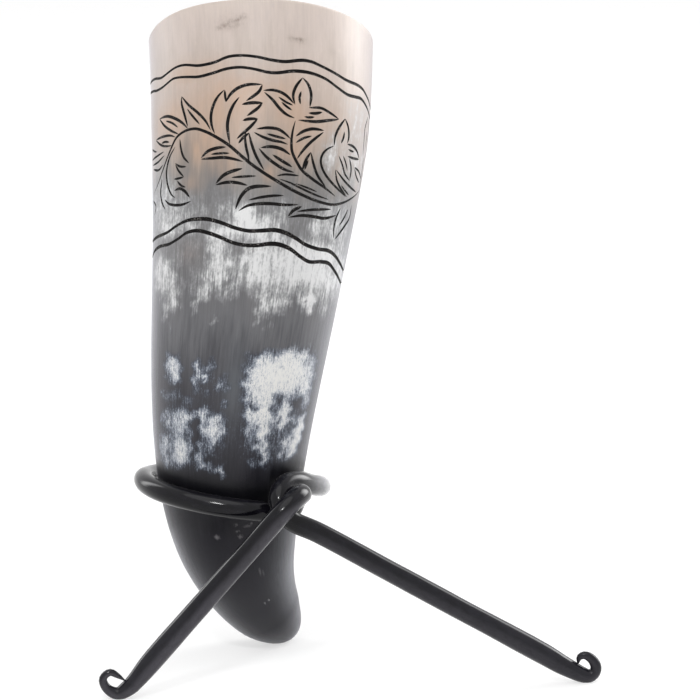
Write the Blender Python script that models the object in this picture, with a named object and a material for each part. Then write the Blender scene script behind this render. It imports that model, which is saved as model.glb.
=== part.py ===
"""Drinking horn standing in a forged iron stand. Metres, +Z up, viewer on the -Y side."""

import math

import bmesh
import bpy
from mathutils import Vector

# Horn, with distances measured along its curved centre line from the tip
HORN_LENGTH = 0.2546
MOUTH_DIAMETER = 0.0852
TIP_ROUNDING = 0.0210
LIP_CHAMFER = 0.0008
# Share of the length from the tip, and the girth there as a share of the mouth's
HORN_GIRTHS = (
    (0.0, 0.2676),
    (0.05, 0.2969),
    (0.13, 0.4108),
    (0.22, 0.5469),
    (0.32, 0.6479),
    (0.45, 0.7430),
    (0.65, 0.8580),
    (0.85, 0.9648),
    (1.0, 1.0),
)

# Lean of the centre line from upright in degrees: backwards (+Y) and sideways (+X)
TIP_BACK_LEAN = -45.3
MOUTH_BACK_LEAN = 32.6
BACK_LEAN_POWER = 1.85
TIP_SIDE_LEAN = -50.0
MOUTH_SIDE_LEAN = -0.6
SIDE_LEAN_POWER = 5.1
BELLY_SIDE_LEAN = 7.9

# Hollow of the horn and the sealing coat inside it
CAVITY_DEPTH = 0.180
LIP_WALL = 0.0028
CAVITY_BOTTOM_WALL = 0.0050
CAVITY_ROUNDING = 0.016
LINING_THICKNESS = 0.0008
LINING_GAP = 0.0003
LINING_BELOW_LIP = 0.0040

# Stand, one bar bent into a ring, a clasp and two legs
BAR_DIAMETER = 0.0080
CLASP_GAP = 0.00045
SEAT_DISTANCE = 0.0788
SEAT_GAP = 0.0004
RING_SLACK = 0.0011
LEAN_AZIMUTH = 238.0
KNOT_ANGLE = 47.6

# Legs end in scrolls: how far a scroll's centre lies beside the ring's axis and in front of it,
# its turn in degrees, and how much wider the bend starts than it ends
LEFT_FOOT_REACH = 0.0440
LEFT_FOOT_FORWARD = 0.0557
LEFT_SCROLL_TURN = 279.0
LEFT_SCROLL_OPENING = 0.30
RIGHT_FOOT_REACH = 0.1352
RIGHT_FOOT_FORWARD = 0.0329
RIGHT_SCROLL_TURN = 270.0
RIGHT_SCROLL_OPENING = 0.10
SCROLL_RADIUS = 0.0042
SCROLL_EASE_POWER = 8.0
TOE_DIAMETER = 0.0012
TAPER_LENGTH = 0.024
TAPER_POWER = 1.6

# Depth of the flats on the tip and the feet
REST_FLAT_DEPTH = 0.0004

# Ring angle from +X towards the viewer, and the bar's height there in bar pitches
RING_LAY = (
    (60.0, -0.37),
    (90.0, -0.04),
    (135.0, 0.31),
    (180.0, 0.31),
    (270.0, 0.18),
    (345.0, 0.10),
    (390.0, 0.63),
)
# Bends of the clasp in bar pitches from the knot: right, back and up
HAIRPIN_BENDS = (
    (-0.22, -2.64, 0.11),
    (0.29, -2.09, 0.49),
    (0.51, -1.38, 0.51),
    (0.43, -0.66, 0.03),
    (-0.06, -0.30, -0.34),
)
HOOK_BENDS = (
    (0.28, 0.09, 0.90),
    (-0.27, -0.66, 0.90),
    (-0.52, -1.25, 0.52),
    (-0.38, -1.47, 0.00),
    (0.09, -1.51, -0.52),
    (1.20, -1.51, -1.06),
)

# Fineness of the meshes
CENTRE_LINE_STEPS = 240
HORN_RINGS = 38
ROUNDING_RINGS = 5
CAVITY_RINGS = 18
TIP_CAP_SHARE = 0.2
CAVITY_CAP_SHARE = 0.5
HORN_BEVEL_RESOLUTION = 14
BAR_BEVEL_RESOLUTION = 4
BEND_STEPS = 3
LEG_SPANS = 3
RING_STEP = 15
SEAT_SAMPLES = 24
SEAT_SPAN = 0.024
SEAT_ANGLE_STEP = 5
SCROLL_STEPS = 15
LEG_FIRST_SLOPE = math.radians(-45.0)
LEG_AIM_ROUNDS = 6
WELD_DISTANCE = 0.00001
SMOOTH_ANGLE = math.radians(35.0)

BAR_RADIUS = BAR_DIAMETER / 2
BAR_PITCH = BAR_DIAMETER + CLASP_GAP
CUTTER_OVERSHOOT = 0.010


def clear_scene():
    for thing in list(bpy.data.objects):
        bpy.data.objects.remove(thing, do_unlink=True)


def make_collection(name):
    collection = bpy.data.collections.new(name)
    bpy.context.scene.collection.children.link(collection)
    return collection


def make_empty(name, parent=None, location=(0.0, 0.0, 0.0)):
    empty = bpy.data.objects.new(name, None)
    empty.location = location
    empty.parent = parent
    PARTS.objects.link(empty)
    return empty


def make_material(name, colour, roughness, metallic):
    material = bpy.data.materials.new(name)
    material.use_nodes = True
    shader = material.node_tree.nodes["Principled BSDF"]
    shader.inputs["Base Color"].default_value = (*colour, 1.0)
    shader.inputs["Roughness"].default_value = roughness
    shader.inputs["Metallic"].default_value = metallic
    material.diffuse_color = (*colour, 1.0)
    return material


def curve_through(stations, at):
    """Smooth value at a place, from (place, value) stations in rising order."""
    places = [place for place, value in stations]
    values = [value for place, value in stations]
    last = len(stations) - 1
    slopes = []
    for i in range(last + 1):
        low = max(i - 1, 0)
        high = min(i + 1, last)
        slopes.append((values[high] - values[low]) / (places[high] - places[low]))
    i = 0
    while i < last - 1 and at > places[i + 1]:
        i += 1
    span = places[i + 1] - places[i]
    t = (at - places[i]) / span
    rise = values[i + 1] - values[i]
    start = slopes[i] * span
    end = slopes[i + 1] * span
    return values[i] + t * (start + t * (3 * rise - 2 * start - end + t * (start + end - 2 * rise)))


def horn_radius(distance):
    share = min(max(distance / HORN_LENGTH, 0.0), 1.0)
    return curve_through(HORN_GIRTHS, share) * MOUTH_DIAMETER / 2


def horn_direction(share):
    towards_tip = 1.0 - share
    back = MOUTH_BACK_LEAN + (TIP_BACK_LEAN - MOUTH_BACK_LEAN) * towards_tip**BACK_LEAN_POWER
    side = MOUTH_SIDE_LEAN + (TIP_SIDE_LEAN - MOUTH_SIDE_LEAN) * towards_tip**SIDE_LEAN_POWER
    side += BELLY_SIDE_LEAN * math.sin(math.pi * share)
    return Vector((math.tan(math.radians(side)), math.tan(math.radians(back)), 1.0)).normalized()


def horn_centre_line():
    """Points along the horn from the tip, evenly spaced, with the tip at the origin."""
    step = HORN_LENGTH / CENTRE_LINE_STEPS
    points = [Vector((0.0, 0.0, 0.0))]
    for i in range(CENTRE_LINE_STEPS):
        points.append(points[-1] + horn_direction((i + 0.5) / CENTRE_LINE_STEPS) * step)
    return points


def horn_rings():
    """Distances and radii of the horn's outer rings, from the rounded tip to the lip."""
    rings = []
    for i in range(ROUNDING_RINGS):
        angle = math.radians(90) * (i + TIP_CAP_SHARE) / ROUNDING_RINGS
        distance = TIP_ROUNDING * (1 - math.cos(angle))
        rings.append((distance, horn_radius(distance) * math.sin(angle)))
    body = HORN_LENGTH - LIP_CHAMFER - TIP_ROUNDING
    for i in range(HORN_RINGS + 1):
        distance = TIP_ROUNDING + body * i / HORN_RINGS
        rings.append((distance, horn_radius(distance)))
    rings.append((HORN_LENGTH, horn_radius(HORN_LENGTH) - LIP_CHAMFER))
    return rings


def cavity_rings(top):
    """Distances and radii of the hollow's rings, from its rounded bottom up to a distance."""
    bottom = HORN_LENGTH - CAVITY_DEPTH

    def wall_radius(distance):
        share = min((HORN_LENGTH - distance) / CAVITY_DEPTH, 1.0)
        return horn_radius(distance) - LIP_WALL - (CAVITY_BOTTOM_WALL - LIP_WALL) * share

    rings = []
    for i in range(ROUNDING_RINGS):
        angle = math.radians(90) * (i + CAVITY_CAP_SHARE) / ROUNDING_RINGS
        distance = bottom + CAVITY_ROUNDING * (1 - math.cos(angle))
        rings.append((distance, wall_radius(distance) * math.sin(angle)))
    start = bottom + CAVITY_ROUNDING
    for i in range(CAVITY_RINGS + 1):
        distance = start + (top - start) * i / CAVITY_RINGS
        rings.append((distance, wall_radius(distance)))
    return rings


def inset_rings(inset, top):
    """Rings of the hollow moved inwards all round, up to a distance along the horn."""
    return [(distance + inset, radius - inset) for distance, radius in cavity_rings(top - inset)]


def centre_at(distance):
    """Place on the centre line, carried on straight past the mouth."""
    place = distance / HORN_LENGTH * CENTRE_LINE_STEPS
    i = min(int(place), CENTRE_LINE_STEPS - 1)
    return CENTRE_LINE[i].lerp(CENTRE_LINE[i + 1], place - i)


def horn_drop():
    """Height that the tip's lowest point has above the centre line's start."""
    lowest = 0.0
    for distance, radius in horn_rings():
        upright = horn_direction(distance / HORN_LENGTH).z
        lowest = min(lowest, centre_at(distance).z - radius * math.sqrt(1 - upright**2))
    return lowest


def smooth_route(points, steps):
    """Centripetal curve through the points, with the given steps between neighbours."""
    ends = [2 * points[0] - points[1], *points, 2 * points[-1] - points[-2]]
    route = []
    for i in range(1, len(ends) - 2):
        p0, p1, p2, p3 = ends[i - 1 : i + 3]
        t1 = math.sqrt((p1 - p0).length)
        t2 = t1 + math.sqrt((p2 - p1).length)
        t3 = t2 + math.sqrt((p3 - p2).length)
        for k in range(steps):
            t = t1 + (t2 - t1) * k / steps
            a1 = p0.lerp(p1, t / t1)
            a2 = p1.lerp(p2, (t - t1) / (t2 - t1))
            a3 = p2.lerp(p3, (t - t2) / (t3 - t2))
            b1 = a1.lerp(a2, t / t2)
            b2 = a2.lerp(a3, (t - t1) / (t3 - t1))
            route.append(b1.lerp(b2, (t - t1) / (t2 - t1)))
    return [*route, points[-1]]


def bar_radius_from_toe(distance):
    """Radius of the drawn-out bar at a distance from its pointed end."""
    share = min(distance / TAPER_LENGTH, 1.0)
    toe = TOE_DIAMETER / 2
    return toe + (BAR_RADIUS - toe) * share**TAPER_POWER


def leg_and_scroll(start, foot, turn_degrees, opening):
    """Leg from the clasp to its foot, and the scroll that the foot curls up into."""
    turn = math.radians(turn_degrees)
    plan = Vector((foot[0] - start.x, foot[1] - start.y))
    reach = plan.length
    outward = Vector((plan.x / reach, plan.y / reach, 0.0))
    entry = SCROLL_RADIUS * (1 + opening)
    heading = LEG_FIRST_SLOPE
    for _ in range(LEG_AIM_ROUNDS):
        underside = SCROLL_RADIUS + bar_radius_from_toe(SCROLL_RADIUS * (turn + heading))
        fall = underside - REST_FLAT_DEPTH - start.z
        heading = math.atan2(fall, reach) - math.asin(entry / math.hypot(fall, reach))
    centre = start + outward * reach + Vector((0.0, 0.0, fall))
    scroll = []
    for i in range(SCROLL_STEPS + 1):
        share = i / SCROLL_STEPS
        angle = heading + turn * share
        radius = SCROLL_RADIUS * (1 + opening * (1 - share) ** SCROLL_EASE_POWER)
        across = outward * math.sin(angle) - Vector((0.0, 0.0, math.cos(angle)))
        scroll.append(centre + across * radius)
    leg = []
    for i in range(LEG_SPANS):
        leg.append(start.lerp(scroll[0], i / LEG_SPANS))
    return leg, scroll


def ring_lift(angle):
    """Height of the ring's bar over the seat at an angle from +X towards the viewer."""
    first = RING_LAY[0][0]
    return curve_through(RING_LAY, angle if angle >= first else angle + 360) * BAR_PITCH


def ring_place(angle, height):
    turn = math.radians(angle)
    return Vector((RING_RADIUS * math.cos(turn), -RING_RADIUS * math.sin(turn), RING_HEIGHT + height))


def stand_route():
    """Points and radii along the whole bar, from the left toe to the right toe."""
    knot = ring_place(KNOT_ANGLE, 0.0)
    hairpin = [knot + Vector(bend) * BAR_PITCH for bend in HAIRPIN_BENDS]
    hook = [knot + Vector(bend) * BAR_PITCH for bend in HOOK_BENDS]
    ring = []
    for angle in range(int(RING_LAY[0][0]), int(RING_LAY[-1][0]) + 1, RING_STEP):
        ring.append(ring_place(angle, ring_lift(angle)))
    left_foot = (-LEFT_FOOT_REACH, -LEFT_FOOT_FORWARD)
    left_leg, left_scroll = leg_and_scroll(hairpin[0], left_foot, LEFT_SCROLL_TURN, LEFT_SCROLL_OPENING)
    right_foot = (RIGHT_FOOT_REACH, -RIGHT_FOOT_FORWARD)
    right_leg, right_scroll = leg_and_scroll(hook[-1], right_foot, RIGHT_SCROLL_TURN, RIGHT_SCROLL_OPENING)
    bends = [left_scroll[0], *left_leg[:0:-1], *hairpin, *ring, *hook, *right_leg[1:], right_scroll[0]]
    points = left_scroll[:0:-1] + smooth_route(bends, BEND_STEPS) + right_scroll[1:]
    along = [0.0]
    for before, after in zip(points, points[1:]):
        along.append(along[-1] + (after - before).length)
    radii = []
    for distance in along:
        radii.append(bar_radius_from_toe(min(distance, along[-1] - distance)))
    return points, radii


def swept_solid(name, points, radii, resolution, collection, parent):
    """Closed round bar along the points, as a mesh object."""
    data = bpy.data.curves.new(name, "CURVE")
    data.dimensions = "3D"
    data.bevel_depth = 1.0
    data.bevel_resolution = resolution
    data.use_fill_caps = True
    spline = data.splines.new("POLY")
    spline.points.add(len(points) - 1)
    for control, place, radius in zip(spline.points, points, radii):
        control.co = (*place, 1.0)
        control.radius = radius
    curve = bpy.data.objects.new(name + "_sweep", data)
    bpy.context.scene.collection.objects.link(curve)
    graph = bpy.context.evaluated_depsgraph_get()
    mesh = bpy.data.meshes.new_from_object(curve.evaluated_get(graph))
    solid = bpy.data.objects.new(name, mesh)
    solid.matrix_world = curve.matrix_world
    bpy.data.objects.remove(curve, do_unlink=True)
    work = bmesh.new()
    work.from_mesh(mesh)
    bmesh.ops.remove_doubles(work, verts=work.verts, dist=WELD_DISTANCE)
    bmesh.ops.recalc_face_normals(work, faces=work.faces)
    work.to_mesh(mesh)
    work.free()
    mesh.shade_smooth()
    mesh.set_sharp_from_angle(angle=SMOOTH_ANGLE)
    solid.parent = parent
    collection.objects.link(solid)
    return solid


def horn_solid(name, rings, collection):
    """Round solid along the horn's centre line, placed from the seat in the ring."""
    points = [centre_at(distance) - SEAT_ON_LINE for distance, radius in rings]
    radii = [radius for distance, radius in rings]
    return swept_solid(name, points, radii, HORN_BEVEL_RESOLUTION, collection, HORN_LIFT)


def cut(solid, cutter):
    cutter.hide_render = True
    cutter.display_type = "WIRE"
    boolean = solid.modifiers.new("cut_" + cutter.name, "BOOLEAN")
    boolean.operation = "DIFFERENCE"
    boolean.solver = "EXACT"
    boolean.object = cutter


def make_floor_cutter():
    """Block below the resting plane, which leaves flats on the tip and the feet."""
    bpy.ops.mesh.primitive_cube_add(size=1.0)
    block = bpy.context.active_object
    block.name = "floor_cutter"
    side = 2 * (HORN_LENGTH + LEFT_FOOT_REACH + RIGHT_FOOT_REACH)
    block.scale = (side, side, CUTTER_OVERSHOOT)
    block.location = (0.0, 0.0, -CUTTER_OVERSHOOT / 2)
    for collection in block.users_collection:
        collection.objects.unlink(block)
    CUTTERS.objects.link(block)
    block.parent = ROOT
    return block


def build_horn(floor):
    horn = horn_solid("horn_shell", horn_rings(), PARTS)
    cavity = horn_solid("cavity_cutter", cavity_rings(HORN_LENGTH + CUTTER_OVERSHOOT), CUTTERS)
    cut(horn, cavity)
    cut(horn, floor)
    horn.data.materials.append(make_material("polished_horn", (0.45, 0.40, 0.37), 0.35, 0.0))
    return horn


def build_lining():
    top = HORN_LENGTH - LINING_BELOW_LIP
    lining = horn_solid("sealing_lining", inset_rings(LINING_GAP, top), PARTS)
    inner_inset = LINING_GAP + LINING_THICKNESS
    bore = horn_solid("lining_cutter", inset_rings(inner_inset, top + CUTTER_OVERSHOOT), CUTTERS)
    cut(lining, bore)
    lining.data.materials.append(make_material("wax_seal", (0.55, 0.42, 0.26), 0.30, 0.0))
    return lining


def build_stand(floor):
    points, radii = stand_route()
    stand = swept_solid("stand_bar", points, radii, BAR_BEVEL_RESOLUTION, PARTS, ROOT)
    cut(stand, floor)
    stand.data.materials.append(make_material("black_iron", (0.02, 0.02, 0.022), 0.32, 0.6))
    return stand


def seat_radius(axis):
    """Radius of the ring whose bar clears the horn's side by the seat gap all round."""
    clear = BAR_RADIUS + SEAT_GAP
    widest = 0.0
    for step in range(-SEAT_SAMPLES, SEAT_SAMPLES + 1):
        distance = SEAT_DISTANCE + SEAT_SPAN * step / SEAT_SAMPLES
        place = centre_at(distance)
        along = horn_direction(distance / HORN_LENGTH)
        across = along.cross(Vector((1.0, 0.0, 0.0))).normalized()
        other = along.cross(across)
        for degrees in range(0, 360, SEAT_ANGLE_STEP):
            turn = math.radians(degrees)
            side = across * math.cos(turn) + other * math.sin(turn)
            from_axis = place + side * horn_radius(distance) - axis
            angle = math.degrees(math.atan2(-from_axis.y, from_axis.x)) % 360
            height = from_axis.z - ring_lift(angle)
            if abs(height) < clear:
                widest = max(widest, from_axis.xy.length + math.sqrt(clear**2 - height**2))
    return widest


def stand_on_origin(pieces):
    """Moves the whole model so that its box stands on the origin."""
    bpy.context.view_layer.update()
    graph = bpy.context.evaluated_depsgraph_get()
    corners = []
    for piece in pieces:
        shape = piece.evaluated_get(graph)
        for vertex in shape.data.vertices:
            corners.append(shape.matrix_world @ vertex.co)
    low = [min(corner[axis] for corner in corners) for axis in range(3)]
    high = [max(corner[axis] for corner in corners) for axis in range(3)]
    ROOT.location = (-(low[0] + high[0]) / 2, -(low[1] + high[1]) / 2, -low[2])
    bpy.context.view_layer.update()


clear_scene()
PARTS = make_collection("drinking_horn")
CUTTERS = make_collection("cutters")

CENTRE_LINE = horn_centre_line()
SEAT_ON_LINE = centre_at(SEAT_DISTANCE)
RING_HEIGHT = SEAT_ON_LINE.z - horn_drop() - REST_FLAT_DEPTH
LEAN = math.radians(LEAN_AZIMUTH)
SEAT_OFFSET = Vector((math.cos(LEAN), math.sin(LEAN), 0.0)) * RING_SLACK
RING_AXIS = SEAT_ON_LINE - SEAT_OFFSET
RING_RADIUS = seat_radius(RING_AXIS)

ROOT = make_empty("drinking_horn_root")
HORN_LIFT = make_empty("horn_lift", ROOT, SEAT_OFFSET + Vector((0.0, 0.0, RING_HEIGHT)))

FLOOR = make_floor_cutter()
stand_on_origin([build_horn(FLOOR), build_lining(), build_stand(FLOOR)])
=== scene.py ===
"""Looks of a drinking horn in its forged iron stand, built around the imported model.

Places on the horn are given as degrees round it from the front, positive to the viewer's right,
and millimetres along its curved centre line from the tip.
"""

import math

import bpy
import numpy as np
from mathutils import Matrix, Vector, geometry


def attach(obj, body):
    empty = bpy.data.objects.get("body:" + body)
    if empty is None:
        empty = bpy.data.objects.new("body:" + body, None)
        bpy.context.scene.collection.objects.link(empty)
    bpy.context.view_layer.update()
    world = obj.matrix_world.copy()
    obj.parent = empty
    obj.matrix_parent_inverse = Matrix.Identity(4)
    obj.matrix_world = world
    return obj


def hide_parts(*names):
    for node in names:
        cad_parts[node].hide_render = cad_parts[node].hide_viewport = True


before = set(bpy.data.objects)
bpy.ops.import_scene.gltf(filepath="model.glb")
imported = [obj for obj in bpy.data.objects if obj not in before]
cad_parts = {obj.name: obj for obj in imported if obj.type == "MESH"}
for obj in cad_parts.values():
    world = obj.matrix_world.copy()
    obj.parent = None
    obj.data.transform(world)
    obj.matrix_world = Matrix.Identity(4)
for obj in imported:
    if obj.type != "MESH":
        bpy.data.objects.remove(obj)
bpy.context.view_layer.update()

MM = 0.001
MM_PER_CM = 10

# Horn, as in the part's source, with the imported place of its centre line's start
HORN_LENGTH = 254.6
MOUTH_DIAMETER = 85.2
TIP_ROUNDING = 21.0
HORN_GIRTHS = (
    (0, 0.2676), (0.05, 0.2969), (0.13, 0.4108), (0.22, 0.5469), (0.32, 0.6479), (0.45, 0.743),
    (0.65, 0.858), (0.85, 0.9648), (1, 1),
)
TIP_BACK_LEAN = -45.3
MOUTH_BACK_LEAN = 32.6
BACK_LEAN_POWER = 1.85
TIP_SIDE_LEAN = -50.0
MOUTH_SIDE_LEAN = -0.6
SIDE_LEAN_POWER = 5.1
BELLY_SIDE_LEAN = 7.9
HORN_START = np.array((-22.697, 13.032, 2.910))
CENTRE_LINE_STEPS = 240

# Hollow and sealing coat
CAVITY_DEPTH = 180.0
CAVITY_BOTTOM = HORN_LENGTH - CAVITY_DEPTH
LIP_WALL = 2.8
CAVITY_BOTTOM_WALL = 5.0
CAVITY_ROUNDING = 16.0
LIP_ROUNDING = 0.9
LINING_GAP = 0.25
LINING_THICKNESS = 0.85
LINING_BELOW_LIP = 4.0
LINING_EDGE_ROOM = 1.2
LINING_EDGE_FADE = 30.0
# Waves round the lip and the coat's edge: height, count and phase
LIP_WAVES = ((0.22, 2, math.pi / 6), (0.12, 5, 0.0))
LINING_WAVES = ((0.8, 3, 0.7), (0.5, 7, 2.0), (0.35, 13, 0.0))

# Fineness of the horn's mesh, and the engraved band's edges
COLUMNS = 240
ROW_STEP = 2.0
FINE_STEP = 0.9
FINE_FROM = 84.0
BAND_LOW = 156.0
BAND_HIGH = 240.0
SEAM = -90.0
AROUND = SEAM + np.arange(COLUMNS) * 360.0 / COLUMNS
TIP_ROWS = 14
LIP_ROWS = 6
WALL_ROWS = 40
WALL_BELOW_LIP = 1.0
LINING_ROWS = 60
BOTTOM_ROWS = 9
NORMAL_STEP = 0.05

# Engraving: the unrolled horn's scale, the strokes' routes and widths, and the grooves
MM_PER_DEGREE = 0.65
STROKE_STEP = 0.8
STROKE_ROUTE_STEPS = 8
FEWEST_STEPS = 4
STROKE_SEARCH = 3.0
STROKE_CLEARANCE = 0.45
STROKE_END = 0.12
SWELL_POWER = 2.6
SWELL_ROUNDING = 0.6
WELD_DISTANCE = 1e-5
INK_DEPTH = 0.004
GROOVE_SLOPE = 0.7
STROKE_GAIN = 1.16
PHOTO_PIXEL = 0.381

# Wavy lines above and below the foliage: width in photograph pixels, then degrees and
# millimetres along each line
WAVY_LINES = (
    (3, -90, 235.6, -81, 234.6, -72, 233.2, -64.5, 231.5, -60.3, 231.4, -55.4, 231.9, -51, 232.4,
     -46.7, 232.5, -42.3, 232.1, -33.5, 230.5, -24.3, 230.7, -16.6, 232.3, -9.3, 232.5, -1.2, 231.9,
     5.9, 231, 13.2, 230.8, 22.5, 232.2, 28, 232.3, 33.2, 231.6, 43.9, 230.3, 51.4, 229.6, 61.9, 230.1,
     67.8, 230, 73.7, 229.1, 88, 227.7, 108, 230.6, 127, 230, 148, 232.4, 168, 230.8, 188, 232.5,
     208, 230.8, 228, 233, 249, 233.4),
    (3, -90, 231.3, -77, 229.2, -69.8, 227.6, -62.6, 227.1, -57.4, 227.6, -52, 228.3, -46.9, 227.9,
     -40.7, 227, -33.6, 226.1, -25.3, 226.6, -17.6, 227.7, -10.2, 228, -3, 227.3, 4.2, 226.3,
     9.6, 226.4, 17.8, 227.7, 27, 228.1, 36.5, 227.3, 45.2, 225.5, 52.5, 224.6, 59.6, 225.3,
     65.9, 226.1, 75, 225.2, 86, 224, 108, 226.4, 127, 225.8, 148, 228, 168, 226.4, 188, 228.1,
     208, 226.5, 228, 228.6, 249, 229),
    (3.4, -90, 169.4, -71.9, 169.8, -58.7, 170.4, -49.5, 172.3, -41.1, 173.8, -32.5, 174.2, -25.7, 174,
     -17, 172.8, -9.6, 171.5, -1.5, 170.9, 5.5, 171.4, 13.5, 172.2, 19.9, 171.9, 26.8, 170.8,
     34.4, 169.3, 43.8, 168.9, 53, 169.4, 61.3, 168.6, 70.7, 166.9, 81.6, 165.6, 93, 166.6, 112, 170.6,
     132, 169.4, 152, 172.4, 172, 170, 192, 172.8, 212, 170, 231, 172, 251, 169.6),
    (3.4, -90, 163.2, -77.1, 165.1, -67.3, 165.9, -56.5, 166.1, -47.6, 167.7, -40.8, 169.6,
     -33.3, 170.2, -26.3, 169.5, -18.5, 168.2, -11, 166.7, -3.7, 166.1, 4.4, 166.5, 11.4, 167.5,
     17.6, 167.7, 24.4, 166.9, 32, 165, 38.7, 164, 48.4, 165, 56.1, 165.2, 64.9, 163.4, 80, 160.9,
     93, 161.6, 112, 165.6, 132, 164.8, 152, 167.8, 172, 165.4, 192, 168.2, 212, 165.3, 231, 167.3,
     251, 164.3),
)
# Degrees at which the graver skipped and each line has a fine gap
LINE_GAPS = (
    (-60, -51.2, -48, 31.5, 34, 44.5, 121, 160, 203, 246),
    (-65.5, -63, -45.6, 36.4, 40, 117, 158, 209, 241), (-57, 36.5, 39, 128, 176, 226),
    (17.5, 41, 139, 188, 233),
)
LINE_GAP_WIDTH = 0.45
LAP_PLACES = 4
# Unsteady width of the lines: its share, and the swings' counts round the horn and phases in degrees
LINE_WOBBLE = 0.16
LINE_SWINGS = ((5, 0), (3, 40))

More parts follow.
